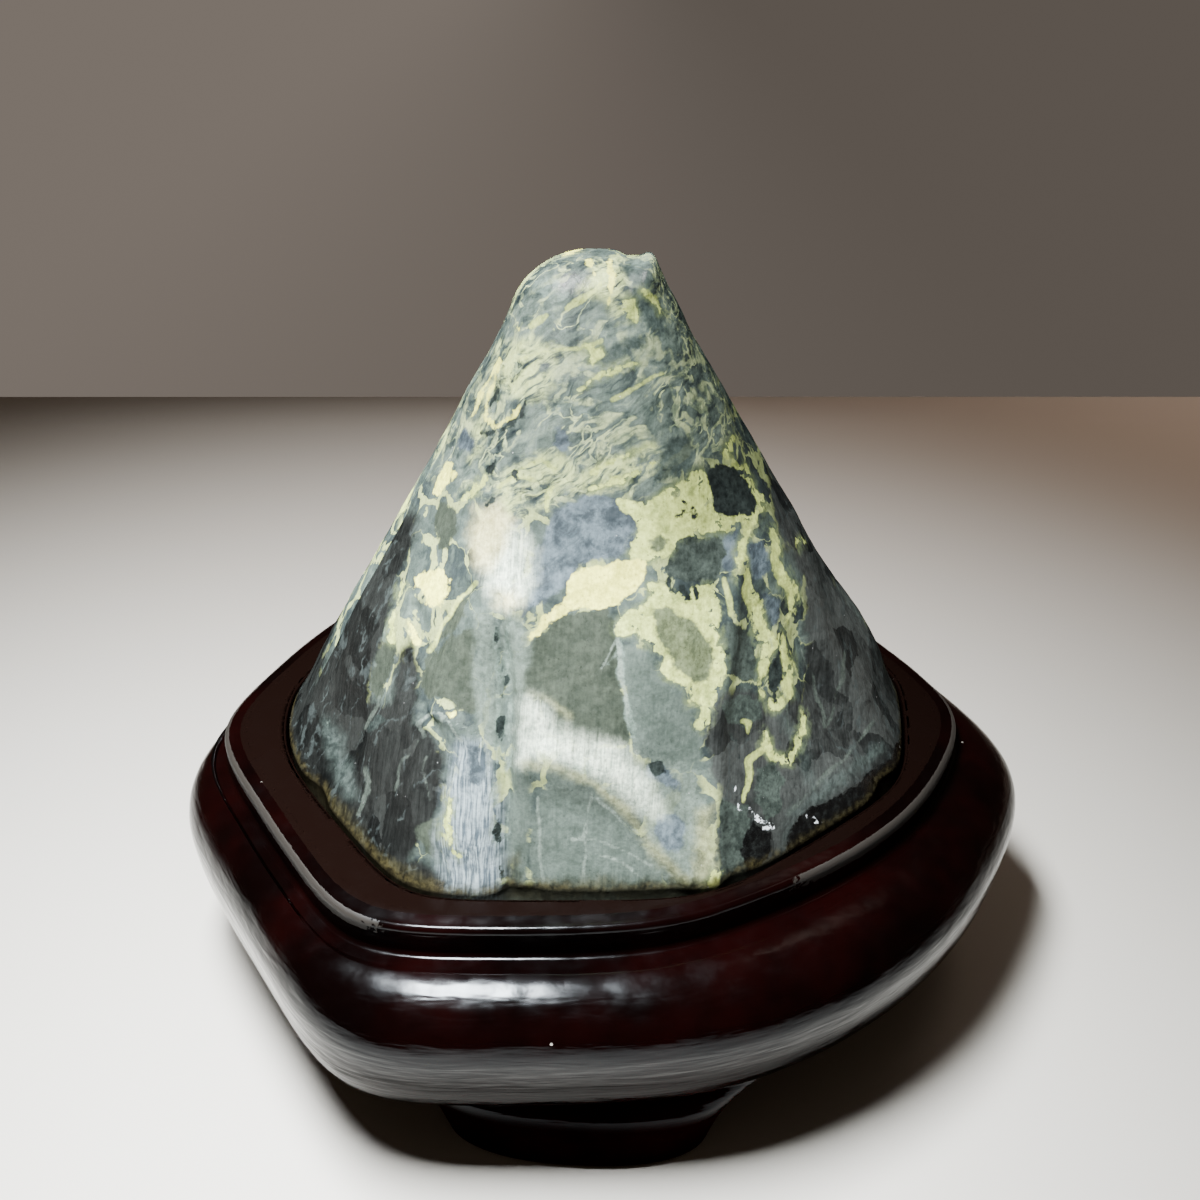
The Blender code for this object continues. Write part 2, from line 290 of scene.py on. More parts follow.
def makeStand():
    # each ring is its kind, its share of the bulge or of the lip, its inset and its depth
    body = bodyRings()
    rings = body + rimRings(body[-1][3]) + seatRings()
    piece = ringTube("carvedStand", len(rings), stand["around"])
    level, azimuth, pole = ringPlaces(piece, len(rings))
    kinds = np.array([ring[0] for ring in rings])[level]
    share, inset, depth = np.array([ring[1:] for ring in rings])[level].T
    radius = standRadius(kinds, share, inset, azimuth)
    radius[pole] = 0
    placed = aroundAxis(radius, azimuth, stand["height"] - depth)
    onBody = kinds == "body"
    carveUnevenly(placed, radius, onBody & (depth < stand["bodyDepth"] - mm) & ~pole)
    writePoints(piece, placed)
    front, clear, over = stand["wornAway"]
    side = smooth((np.abs(turnBetween(azimuth, front)) - math.radians(clear)) / math.radians(over))
    outer, inner = stand["wornInset"]
    onEdge = onBody & (inset > outer) & (inset < inner) & (depth < stand["wornDepth"])
    # the lip is painted matt and brownish grey, partly a painted reflection of the stone
    onLip = ~onBody | ((inset > stand["lipFrom"] * stand["lipBand"]) & (depth < stand["lipDepth"]))
    dull = smooth((depth - stand["dullFrom"]) / stand["dullOver"])
    addField(piece, "lower", stand["dullMost"] * onBody * dull)
    addField(piece, "under", onBody * smooth((depth - stand["smoothFrom"]) / stand["smoothOver"]))
    addField(piece, "lip", onLip.astype(float))
    addField(piece, "wornAndSheen", onEdge * side)
    return piece


feet = {
    "directions": (-93.6, 29, 151),
    "centre": 42.0 * mm,
    "around": 120,
    "levels": 64,
    "roundness": 2.3,
    "rings": (           # height, half width, reach outwards and inwards in mm
        (0.0, 17.0, 6.2, 3.4), (0.25, 17.5, 6.8, 4.1), (0.9, 18.3, 7.3, 4.5), (3.0, 18.9, 7.6, 4.5),
        (5.0, 19.5, 7.8, 4.5), (7.0, 20.2, 7.8, 4.5), (9.0, 21.2, 7.6, 4.5), (10.5, 22.2, 7.0, 4.5),
        (11.8, 23.6, 5.6, 4.5), (13.0, 25.0, 4.0, 4.5), (16.0, 25.0, 3.0, 4.5),
    ),
    "glossFrom": 8.5 * mm,       # the polish is better above this height
    "glossOver": 2.5 * mm,
    "gloss": 0.5,
}


def makeFoot(number, direction):
    heights, widths, outs, ins = np.array(feet["rings"]).T * mm
    piece = ringTube(f"bracketFoot{number}", feet["levels"], feet["around"])
    level, azimuth, pole = ringPlaces(piece, feet["levels"])
    height = np.linspace(heights[0], heights[-1], feet["levels"])[level]
    outward = np.sin(azimuth) < 0
    reach = np.where(outward, np.interp(height, heights, outs), np.interp(height, heights, ins))
    across = np.abs(np.cos(azimuth)) / np.interp(height, heights, widths)
    along = np.abs(np.sin(azimuth)) / reach
    power = feet["roundness"]
    radius = np.where(pole, 0, (across ** power + along ** power) ** (-1 / power))
    turn = math.radians(direction + 90)
    x, y = radius * np.cos(azimuth), radius * np.sin(azimuth) - feet["centre"]
    turnedX = x * math.cos(turn) - y * math.sin(turn)
    turnedY = x * math.sin(turn) + y * math.cos(turn)
    writePoints(piece, np.column_stack((turnedX, turnedY, height)))
    glossy = smooth((height - feet["glossFrom"]) / feet["glossOver"])
    addField(piece, "lower", 1 - feet["gloss"] * glossy)
    addField(piece, "under", np.ones(len(height)))
    return piece


# the stone; heights count up from the top of the stand's rim

stone = {
    "height": 70.0 * mm,
    "around": 400,
    "rings": 244,
    "frontDensity": 0.5,         # how much closer the mesh is on the front than at the side
    "cornerTop": 8,
    "shoulder": 66.5 * mm,
    "crownRings": 30,
    "crownTurn": 84,
    "crownFullness": 0.5,
    "foot": -5.7 * mm,
    "footEdge": 1.5 * mm,
    "lowStart": -3.2 * mm,
    "lowRings": 14,
    "grooves": (         # direction at the rim and at the end, height of the end, half width and depth
        (-104.5, -117, 36, 2.4, 1.9), (-64, -78, 30, 3.0, 0.8), (-22, -30, 34, 3.2, 1.3),
        (42, 50, 44, 3.4, 1.5), (72, 61, 38, 3.0, 1.7), (118, 128, 50, 3.6, 1.5),
        (166, 158, 34, 3.0, 1.4), (205, 212, 26, 3.0, 1.0),
    ),
    "grooveFade": 0.4,
    "lobes": (           # direction, height, half width, half height and swelling
        (-116, 9, 6.5, 16, 1.3), (-84, 20, 10, 8, 1.2), (-118, 40, 6.0, 14, 1.0), (180, 66, 5.0, 3, 0.8),
        (-30, 14, 9.0, 9, -1.2), (10, 12, 9.0, 8, 1.0), (95, 20, 9.0, 10, 1.6), (145, 14, 8.0, 9, -1.4),
    ),
    "facet": {
        "fromX": -10 * mm, "toX": 14 * mm, "top": 24 * mm, "cut": 0.9 * mm, "lip": 6.0 * mm,
        "bend": 1.9, "ends": 6,
    },
    "notches": ((3.8, 0.8, 0.3), (7.0, 1.3, -1.5)),      # across the top: x, half width and depth
    "notchFrom": 1.0 * mm,       # below the shoulder
    "notchOver": 3.0 * mm,
    "unevenness": ((26, 0.9), (10, 0.3), (4.5, 0.13), (2.2, 0.06)),      # spacing and height
    "reliefFoot": 8.0 * mm,      # the relief grows over this height and ends over the last 6 mm
    "reliefTop": 6.0 * mm,
}


def stoneLevels():
    # height, inset and crown share of each ring
    foot, edge, shoulder = stone["foot"], stone["footEdge"], stone["shoulder"]
    levels = [(foot, edge, 1.0), (foot + edge, 0, 1.0)]
    levels += [(height, 0, 1.0) for height in np.linspace(stone["lowStart"], 0, stone["lowRings"])[:-1]]
    sideRings = stone["rings"] - len(levels) - stone["crownRings"]
    levels += [(height, 0, 1.0) for height in np.linspace(0, shoulder, sideRings)]
    for angle in arc(0, stone["crownTurn"], stone["crownRings"] + 1)[1:]:
        height = shoulder + (stone["height"] - shoulder) * math.sin(angle)
        levels.append((height, 0, math.cos(angle) ** stone["crownFullness"]))
    return np.array(levels)


def stonePoints(piece):
    level, even, pole = ringPlaces(piece, stone["rings"])
    height, inset, crown = stoneLevels()[level].T
    azimuth = even - stone["frontDensity"] * np.sin(even + math.pi / 2)
    share = np.clip(height, 0, None) / stone["height"]
    corner = seatCorner + (stone["cornerTop"] - seatCorner) * share
    directions, foot, top = np.array(seatSides).T
    foot, top = foot * mm, top * mm
    distances = foot + (top - foot) * share[:, None] - inset[:, None]
    radius = crown * corneredRadius(directions, distances, azimuth, corner)
    radius[pole] = 0
    return aroundAxis(radius, azimuth, stand["height"] + height), height, radius, azimuth


def grooveDepth(azimuth, radius, height):
    depth = np.zeros_like(height)
    for footWay, endWay, endHeight, halfWidth, deepest in stone["grooves"]:
        run = height / (endHeight * mm)
        across = radius * turnBetween(azimuth, footWay + (endWay - footWay) * np.clip(run, 0, 1))
        fade = smooth((1 - run) / stone["grooveFade"])
        depth += deepest * mm * bell(across, halfWidth * mm) * fade
    return depth


def lobeSwelling(azimuth, radius, height):
    swelling = np.zeros_like(height)
    for direction, middle, halfWidth, halfHeight, most in stone["lobes"]:
        across = radius * turnBetween(azimuth, direction)
        swelling += most * mm * bell(across, halfWidth * mm) * bell(height - middle * mm, halfHeight * mm)
    return swelling


def facetCut(placed, height):
    # the lower front is cut back under a curved ledge that runs down to the right
    facet = stone["facet"]
    run = (placed[:, 0] - facet["fromX"]) / (facet["toX"] - facet["fromX"])
    ledge = facet["top"] * (1 - np.clip(run, 0, 1) ** facet["bend"])
    ends = smooth(facet["ends"] * run) * smooth(facet["ends"] * (1 - run))
    return np.where(placed[:, 1] > 0, 0, facet["cut"] * ends * smooth((ledge - height) / facet["lip"]))


def unevenness(placed):
    total = np.zeros(len(placed))
    for spacing, size in stone["unevenness"]:
        spots = placed / (spacing * mm)
        total += size * mm * np.array([noise.noise(spot) for spot in spots.tolist()])
    return total


def shapeStone(placed, height, radius, azimuth):
    above = smooth(height / stone["reliefFoot"])
    belowCrown = smooth((stone["height"] - height) / stone["reliefTop"])
    raised = lobeSwelling(azimuth, radius, height) + unevenness(placed)
    cut = grooveDepth(azimuth, radius, height) + facetCut(placed, height)
    inView = smooth((height + stand["seatDepth"]) / stand["seatDepth"])
    push = above * belowCrown * raised - inView * belowCrown * cut
    crown = smooth((height - stone["shoulder"] + stone["notchFrom"]) / stone["notchOver"])
    for middle, halfWidth, depth in stone["notches"]:
        placed[:, 2] -= crown * depth * mm * bell(placed[:, 0] - middle * mm, halfWidth * mm)
    placed[:, :2] += np.column_stack((np.cos(azimuth), np.sin(azimuth))) * push[:, None]


# what is drawn on the stone, in the front view's pixels: patches by their outlines, strokes by
# their middle line and half width
patches = {
    # cream painted lighter, a lit copy of the cream, where it catches the light
    "bright": {
        "wedge": [(529, 639), (549, 618), (565, 600), (571, 578), (585, 568), (618, 561), (650, 559),
            (647, 578), (629, 596), (606, 607), (580, 609), (560, 617), (545, 628)],
        "leftBright": [(418, 574), (436, 567), (452, 576), (450, 592), (438, 606), (427, 601), (418, 588)],
        "knot": [(444, 710), (450, 710), (454, 716), (450, 719)],
        "leftWarm": [(443, 459), (456, 460), (456, 473), (441, 494), (429, 499), (435, 475)],
    },
    "cream": {
        "upperField": [(617, 500), (636, 506), (656, 498), (676, 484), (702, 466), (708, 478), (711, 503),
            (719, 514), (735, 517), (733, 529), (721, 533), (698, 535), (677, 541), (667, 556), (650, 562),
            (629, 558), (631, 545), (643, 531), (636, 517), (620, 509)],
        "midField": [(652, 586), (663, 584), (670, 591), (689, 598), (698, 584), (716, 586), (718, 618),
            (716, 637), (722, 653), (725, 669), (721, 689), (714, 705), (710, 722), (703, 728), (698, 724),
            (702, 705), (689, 703), (685, 689), (659, 669), (661, 657), (645, 646), (636, 630), (617, 634),
            (615, 625), (629, 609), (650, 604)],
        "crownBlob": [(622, 299), (634, 298), (637, 320), (629, 318), (622, 309)],
    },
    "feather": {
        "leftFan": [(498, 494), (506, 470), (530, 458), (560, 452), (574, 462), (572, 484), (552, 502),
            (530, 516), (506, 518)],
        "upperLeft": [(498, 344), (530, 336), (560, 350), (556, 384), (530, 400), (502, 392)],
        "middleFan": [(568, 492), (578, 474), (610, 458), (648, 440), (662, 452), (650, 472), (620, 486),
            (590, 496)],
        "crownFan": [(580, 290), (592, 258), (620, 256), (626, 290), (632, 316), (618, 326), (604, 300)],
        "sideFan": [(470, 460), (486, 384), (496, 356), (506, 360), (498, 380), (482, 440)],
    },
    # pale stone with painted sheen over it: the shoulder's soft glow and the band along the ledge above the
    # facet
    "white": {
        "shoulder": [(492, 546), (504, 530), (520, 530), (530, 550), (528, 580), (520, 602), (506, 606),
            (492, 594), (486, 570)],
        "band": [(524, 704), (532, 698), (543, 708), (552, 724), (576, 738), (612, 746), (634, 762),
            (650, 786), (658, 812), (640, 806), (612, 784), (580, 766), (545, 756), (524, 760)],
    },
    "blush": {
        "peach": [(476, 512), (498, 506), (512, 520), (504, 545), (492, 570), (478, 566), (472, 536)],
        "underPeach": [(498, 594), (512, 592), (518, 602), (508, 610), (498, 606)],
    },
    "sage": {
        "leftSage": [(478, 612), (496, 606), (501, 640), (500, 700), (500, 744), (486, 738), (474, 712),
            (476, 660)],
        "belowShoulder": [(498, 612), (520, 612), (530, 636), (524, 690), (508, 690), (502, 650)],
        "belowClast": [(618, 750), (650, 762), (694, 768), (704, 800), (696, 850), (704, 905), (668, 905),
            (640, 830), (640, 790)],
    },
    "haze": {
        "topGreen": [(600, 360), (612, 348), (628, 338), (646, 334), (648, 341), (633, 350), (613, 361),
            (604, 366)],
        "upperSlate": [(672, 437), (686, 436), (697, 448), (694, 466), (672, 478), (655, 490), (643, 494),
            (656, 470)],
        "crownRight": [(620, 264), (636, 262), (650, 270), (655, 284), (642, 291), (628, 286)],
        "crownSide": [(640, 300), (652, 296), (662, 306), (664, 330), (652, 336), (644, 320)],
    },
    "dark": {
        "upperRight": [(710, 471), (718, 462), (734, 467), (748, 481), (757, 501), (755, 513), (734, 516),
            (718, 512), (712, 499)],
        "rightOfVein": [(767, 664), (779, 650), (782, 676), (776, 701), (768, 683)],
        "lowSpot": [(650, 762), (661, 762), (666, 774), (656, 778)],
    },
    "moss": {
        "underEdge": [(719, 800), (748, 806), (754, 850), (744, 880), (722, 886), (720, 840)],
        "middleRight": [(669, 554), (679, 541), (698, 535), (718, 537), (724, 552), (721, 577), (707, 584),
            (689, 582), (668, 579), (664, 568)],
        "betweenVeins": [(719, 622), (734, 621), (751, 637), (757, 660), (755, 678), (744, 683), (730, 678),
            (722, 650)],
        "underVein": [(725, 700), (742, 695), (760, 702), (762, 718), (744, 728), (728, 722)],
        "cornerClast": [(757, 768), (772, 764), (785, 780), (783, 806), (768, 818), (757, 800)],
    },
    "lens": {
        "lensInField": [(652, 612), (664, 606), (682, 614), (700, 628), (712, 646), (713, 664), (706, 682),
            (696, 688), (684, 674), (670, 658), (656, 636)],
        "creamSpot": [(652, 540), (660, 534), (666, 541), (659, 551), (651, 553)],
    },
    "steel": {
        "besideClast": [(723, 520), (737, 529), (739, 545), (738, 560), (730, 575), (722, 566), (724, 549)],
        "lens": [(748, 540), (764, 542), (769, 559), (766, 575), (755, 579), (747, 568)],
        "lowerLens": [(762, 591), (780, 600), (783, 618), (773, 627), (764, 618)],
        "centre": [(583, 494), (601, 496), (624, 505), (642, 526), (632, 545), (603, 560), (579, 567),
            (563, 588), (540, 606), (523, 617), (528, 595), (532, 560), (548, 521), (567, 508)],
        "spot": [(456, 430), (466, 424), (474, 436), (472, 450), (460, 452), (454, 442)],
        "lowRight": [(657, 813), (675, 812), (685, 826), (683, 849), (668, 853), (655, 836)],
        "lilac": [(650, 762), (668, 768), (684, 780), (682, 792), (660, 786), (648, 775)],
        "lobeBlue": [(470, 740), (478, 755), (486, 775), (480, 790), (468, 780)],
        "aboveLobe": [(556, 426), (570, 428), (576, 444), (564, 452), (554, 444)],
    },
    "olive": {
        "lens": [(438, 640), (450, 610), (470, 594), (468, 613), (457, 629), (443, 640)],
        "belowLens": [(424, 660), (441, 645), (464, 629), (480, 632), (476, 663), (476, 690), (484, 706),
            (470, 716), (452, 704), (427, 698), (422, 679)],
        "leftLens": [(379, 652), (390, 636), (396, 647), (392, 675), (381, 698), (374, 689), (375, 663)],
        "sideLens": [(440, 505), (454, 510), (459, 526), (450, 549), (436, 547), (433, 522)],
        "clast": [(513, 702), (511, 680), (520, 652), (535, 636), (560, 618), (585, 612), (606, 610),
            (616, 628), (620, 680), (632, 744), (602, 744), (562, 734), (540, 702)],
        "peachGrey": [(415, 831), (436, 819), (441, 831), (441, 856), (427, 854), (418, 842)],
    },
    "facet": {
        "hollow": [(538, 790), (552, 770), (576, 774), (602, 788), (622, 812), (645, 842), (662, 868),
            (668, 905), (532, 905), (528, 840)],
        "ribSage": [(512, 690), (530, 690), (533, 700), (528, 760), (532, 800), (528, 905), (510, 905),
            (508, 760)],
        "rightClast": [(619, 648), (642, 648), (659, 672), (688, 706), (698, 736), (700, 765), (672, 770),
            (642, 757), (630, 738), (622, 690)],
    },
    "butter": {
        "column": [(700, 812), (712, 806), (716, 830), (716, 862), (717, 890), (704, 890), (697, 860),
            (694, 832)],
    },
    "lobe": {
        "silky": [(462, 742), (484, 748), (498, 782), (502, 840), (503, 905), (448, 905), (440, 850),
            (446, 800)],
    },
    "slate": {
        "footCorner": [(372, 842), (400, 856), (430, 866), (446, 874), (446, 900), (400, 900), (372, 874)],
        "slateBand": [(399, 647), (410, 640), (420, 656), (420, 690), (414, 720), (440, 738), (446, 760),
            (441, 800), (430, 835), (400, 842), (385, 800), (381, 760), (388, 715), (396, 680)],
        "leftFace": [(404, 500), (420, 522), (408, 556), (398, 590), (390, 640), (376, 665), (374, 700),
            (388, 700), (400, 650), (418, 660), (420, 700), (414, 735), (436, 762), (444, 795), (434, 820),
            (416, 850), (400, 890), (260, 800), (280, 680), (340, 580)],
        "rightFace": [(760, 440), (800, 500), (840, 580), (880, 640), (915, 720), (900, 810), (850, 850),
            (780, 880), (722, 900), (718, 850), (716, 790), (704, 740), (720, 690), (742, 690), (800, 700),
            (806, 640), (800, 580), (775, 530)],
    },
    "fibre": {
        "upper": [(498, 340), (512, 280), (540, 240), (660, 240), (700, 330), (740, 430), (705, 462),
            (655, 496), (605, 492), (548, 512), (505, 508), (470, 500), (430, 470), (470, 390)],
    },
    "wet": {
        "right": [(790, 835), (797, 815), (815, 806), (840, 794), (866, 776), (890, 758), (905, 735),
            (930, 760), (900, 830), (800, 870), (786, 850)],
        "low": [(752, 820), (770, 832), (768, 860), (748, 872), (742, 850)],
    },
    "stain": {
        "leftFoot": [(300, 772), (330, 790), (352, 812), (372, 845), (360, 850), (325, 825), (295, 795)],
        "cornerFoot": [(366, 842), (392, 860), (416, 872), (446, 880), (446, 904), (400, 900), (372, 880)],
        "grooveFoot": [(503, 860), (518, 850), (524, 884), (505, 892)],
        "frontFoot": [(438, 884), (520, 880), (600, 874), (660, 878), (730, 882), (730, 900), (520, 900),
            (438, 900)],
    },
}
strokes = {
    "bright": {
        "loop": [(498, 368, 2.5), (489, 391, 2.5), (486, 418, 3.5), (498, 427, 3.5), (516, 418, 2.5),
            (521, 402, 1.5)],
        "leftEdge": [(472, 414, 3.5), (476, 397, 3), (487, 378, 2.5), (500, 360, 2)],
        "crownStreak": [(590, 258, 3.5), (593, 276, 3)],
        "crownStreak2": [(611, 264, 3), (612, 284, 3.5), (607, 306, 2)],
        "crownLeft": [(534, 264, 2), (519, 290, 2), (513, 315, 3), (519, 333, 3)],
        "wedgeTail": [(548, 621, 4), (530, 638, 2)],
        "leftTail": [(408, 620, 2), (418, 642, 3)],
    },
    "cream": {
        "veinA": [(748, 522, 5), (741, 549, 3.5), (741, 572, 6), (751, 595, 7), (760, 625, 5.5),
            (769, 648, 8.5), (764, 669, 6), (764, 682, 1)],
        "veinDrop": [(761, 684, 3.5), (764, 697, 0.8)],
        "veinB": [(771, 529, 1), (776, 548, 3), (773, 561, 3), (782, 577, 6.5), (791, 590, 4.5),
            (789, 614, 2.5), (781, 630, 1.8), (785, 653, 4.5), (789, 671, 5), (786, 692, 5), (773, 708, 3)],
        "hook": [(731, 440, 3.5), (725, 454, 2.5), (743, 468, 2.2), (754, 487, 3), (760, 506, 3.2),
            (752, 520, 6), (735, 519, 4)],
        "edgeSpot": [(797, 546, 3), (801, 541, 4)],
        "squiggle": [(803, 713, 1), (801, 733, 3.2), (797, 748, 3.2), (790, 761, 3.2), (773, 757, 2.2),
            (765, 750, 4), (765, 735, 3.2)],
        "leftVein": [(404, 583, 1.5), (395, 608, 2.5), (391, 640, 2)],
        "crownRightPatch": [(643, 288, 3.2), (655, 299, 3.5), (662, 312, 1.5)],
        "whitish": [(582, 343, 2.5), (596, 352, 3.5), (592, 363, 2.5)],
        "fibreA": [(636, 361, 2), (617, 370, 2.5), (600, 378, 2), (578, 389, 1)],
        "fibreE": [(596, 470, 2.5), (622, 458, 2), (644, 447, 1.2)],
        "fibreF": [(590, 489, 2.6), (615, 480, 2.5), (640, 470, 2), (657, 461, 1.2)],
        "fibreH": [(543, 520, 1.5), (548, 500, 2.4), (553, 486, 2.2)],
        "fibreI": [(485, 479, 3), (476, 488, 3.5), (466, 500, 2)],
        "betweenLenses": [(640, 512, 1.5), (664, 500, 2.5), (690, 480, 3)],
        "knob": [(716, 873, 4), (712, 884, 4)],
        "lobeBlotch": [(448, 800, 1.5), (446, 825, 2.5), (452, 850, 3), (460, 856, 2)],
    },
    "thin": {
        "thinVein": [(725, 579, 2), (728, 595, 3), (730, 614, 2.5)],
        "tee": [(743, 722, 1.8), (750, 724, 2.5), (747, 733, 1.2)],
        "squiggleDown": [(765, 750, 3), (748, 761, 3.2), (748, 784, 2.5), (744, 800, 1.5)],
        "lensEdge": [(430, 650, 1.2), (444, 620, 1.6), (462, 598, 1.8), (476, 583, 2.2)],
        "crownDiagonal": [(598, 285, 2), (584, 297, 2.5), (567, 310, 1.6)],
        "crownSide": [(530, 326, 2), (541, 318, 3), (546, 314, 1.5)],
        "fibreB": [(600, 342, 1.6), (566, 350, 1.4), (522, 357, 1.2)],
        "fibreC": [(664, 372, 1), (640, 384, 1.6), (612, 402, 1.2)],
        "fibreD": [(552, 468, 2), (540, 462, 1.2), (520, 470, 1)],
        "fibreG": [(500, 486, 2), (516, 476, 2.4), (534, 480, 1.4)],
    },
    "dark": {
        "slit": [(496, 388, 3), (493, 402, 3.5), (490, 414, 1.5)],
        "creamSpecks": [(678, 504, 1.2), (680, 508, 0.2), (688, 512, 1.4), (694, 515, 0.8)],
        "creamSpecks2": [(684, 499, 2.2), (688, 503, 1.6)],
        "creamSpecks3": [(692, 508, 1.8), (696, 512, 2.2), (694, 519, 1)],
        "creamSpecks4": [(675, 515, 1.6), (681, 518, 1.2)],
        "mossEdge": [(668, 578, 2), (671, 592, 3)],
        "mossEdge2": [(679, 588, 2.4), (688, 598, 3)],
        "mossEdge3": [(697, 588, 1.8), (699, 596, 2)],
        "slitArc": [(525, 400, 2.5), (521, 418, 3), (502, 432, 3), (484, 434, 2)],
        "fibreSpot": [(495, 462, 3), (492, 470, 3)],
        "fibreSpot2": [(514, 474, 3), (518, 480, 2)],
        "peachEdge": [(492, 501, 2), (478, 512, 1.5)],
        "grooveSpotUp": [(499, 614, 1.6), (498, 626, 2), (496, 642, 1.6)],
        "grooveSpot": [(508, 676, 1.6), (504, 694, 2)],
        "grooveOval": [(501, 720, 3), (502, 738, 3)],
        "grooveLow": [(498, 812, 2.8), (496, 826, 3.2), (498, 842, 3)],
        "grooveFoot": [(501, 868, 2), (504, 884, 2)],
        "crack": [(730, 724, 0.9), (737, 750, 1), (744, 776, 0.8)],
        "leftSpot": [(374, 730, 4), (380, 720, 4)],
    },
    "pale": {
        "clastVein": [(616, 624, 1.5), (619, 650, 2), (621, 680, 2.2), (627, 710, 2.5), (632, 735, 3)],
        "clastSpur": [(619, 650, 1), (606, 664, 1)],
        "grooveLineLeft": [(502, 600, 2), (495, 640, 2.5), (500, 680, 2), (497, 720, 2), (496, 790, 2.5),
            (494, 860, 2)],
        "grooveLineRight": [(509, 610, 1.6), (505, 660, 2), (511, 700, 2), (508, 760, 1.6),
            (507, 840, 1.6)],
        "sideVein": [(402, 585, 2), (392, 615, 2.4), (384, 640, 3)],
        "farLeftVein": [(324, 690, 1), (327, 712, 1.6), (328, 730, 1.4)],
        "facetEdge": [(560, 762, 1.4), (585, 770, 2), (602, 785, 2), (618, 795, 1.6)],
        "crownPeak": [(637, 262, 4), (644, 258, 4)],
        "crownSheen": [(536, 285, 6), (552, 285, 8), (562, 296, 6)],
        "middleSheen": [(556, 412, 3), (572, 405, 5), (588, 416, 3)],
    },
    "butter": {
        "underBand": [(528, 764, 4), (556, 767, 4), (580, 776, 4.5), (604, 790, 4), (628, 812, 3.5),
            (646, 838, 3.5), (664, 862, 4), (688, 886, 5)],
        "bandTop": [(530, 694, 2), (552, 704, 2), (568, 714, 1.5)],
        "knobSide": [(706, 850, 4), (700, 884, 5)],
    },
    "scratch": {
        "facetLeft": [(536, 796, 1), (540, 840, 1.3), (543, 884, 1)],
        "facetMiddle": [(591, 792, 0.9), (586, 830, 1), (583, 884, 0.9)],
        "facetFanA": [(572, 838, 0.8), (600, 840, 0.9), (626, 852, 0.9), (654, 866, 0.7)],
        "facetFanB": [(584, 852, 0.7), (612, 858, 0.8), (642, 876, 0.7)],
        "facetFanC": [(597, 800, 0.8), (616, 816, 0.9), (640, 834, 0.7)],
        "clastLine": [(617, 640, 1.4), (621, 680, 1.6), (628, 716, 1.2)],
        "clastArc": [(616, 642, 1), (606, 656, 0.9), (600, 668, 0.7)],
        "rightA": [(874, 723, 0.9), (840, 762, 1.2), (812, 790, 1.3), (788, 815, 1.2)],
        "rightB": [(800, 640, 0.7), (812, 680, 0.9), (826, 727, 0.8)],
        "rightC": [(846, 650, 0.7), (838, 690, 0.8), (826, 727, 0.7)],
        "rightD": [(770, 640, 0.7), (784, 700, 0.8), (790, 740, 0.7)],
        "leftA": [(418, 740, 0.2), (404, 760, 0.4), (396, 790, 0.2)],
        "leftB": [(432, 748, 0.2), (424, 770, 0.4), (428, 800, 0.2)],
        "leftVeinFoot": [(379, 702, 1.5), (371, 716, 1.8), (364, 727, 0.8)],
        "lowLeftLine": [(366, 765, 1.2), (368, 790, 1.6), (360, 815, 1.2)],
        "knotWebA": [(424, 738, 0.6), (418, 724, 0.9), (430, 714, 1), (442, 716, 0.9), (440, 732, 0.6)],
        "knotWebB": [(456, 722, 1), (470, 730, 1.2), (484, 742, 1.4), (490, 760, 1.4), (487, 774, 0.9)],
        "knotWebC": [(444, 716, 0.7), (452, 730, 0.9), (462, 742, 0.8)],
        "lobeSide": [(486, 760, 0.8), (492, 800, 1), (490, 850, 0.8)],
    },
    # pale veils on the dark sides; the band along the top of the black glossy patch is painted sheen
    "veil": {
        "rightSheen": [(794, 815, 5), (815, 798, 6), (840, 778, 6), (866, 758, 5), (882, 745, 3)],
        "rightSpur": [(796, 815, 2.5), (790, 832, 2.2), (785, 852, 1.6)],
        "sideVeil": [(770, 700, 3), (800, 740, 4), (812, 790, 3)],
        "farLeft": [(318, 705, 4), (334, 745, 8), (350, 790, 7)],
    },
    # painted glints: small white highlights on the glossy dark patch
    "glint": {
        "paintedGlintsA": [(732, 780, 2), (736, 792, 3), (738, 806, 2)],
        "paintedGlintsB": [(750, 812, 2.5), (760, 820, 2.5), (771, 826, 3)],
        "paintedGlintsC": [(803, 817, 1.5), (812, 821, 2), (820, 824, 1.5)],
    },
}

# ridges and hollows carved into the stone along lines of the same view: each point is x, y and
# half width, and the number before them is the height in mm, below zero for a hollow
carving = {
    "groove": (-0.75, [(499, 596, 5), (503, 640, 6), (507, 690, 6), (508, 740, 6), (505, 800, 6),
        (508, 890, 7)]),
    "rib": (0.5, [(521, 600, 9), (523, 680, 9), (522, 760, 10), (518, 880, 10)]),
    "shelf": (0.95, [(528, 760, 17), (552, 762, 18), (590, 776, 19), (630, 802, 18), (656, 836, 13),
        (686, 876, 9)]),
    "shoulder": (1.1, [(500, 614, 26), (512, 610, 30), (522, 606, 24)]),
    "edge": (0.7, [(735, 560, 10), (728, 640, 9), (716, 720, 9), (716, 800, 8), (717, 886, 8)]),
    "lensRim": (-0.6, [(430, 655, 7), (447, 618, 7), (470, 590, 7)]),
    "leftGroove": (-0.6, [(415, 610, 6), (421, 660, 7), (417, 700, 7), (440, 745, 6)]),
    "lobeSide": (-0.7, [(441, 790, 6), (436, 830, 7), (440, 880, 7)]),
    "knot": (0.5, [(432, 712, 5), (452, 720, 6), (478, 745, 6)]),
    "loop": (-0.5, [(494, 386, 5), (490, 412, 5)]),
    "clastStep": (-0.45, [(617, 620, 5), (620, 680, 6), (630, 735, 7)]),
}
carvedSlope = 1.3        # a carved line's slope against its half width

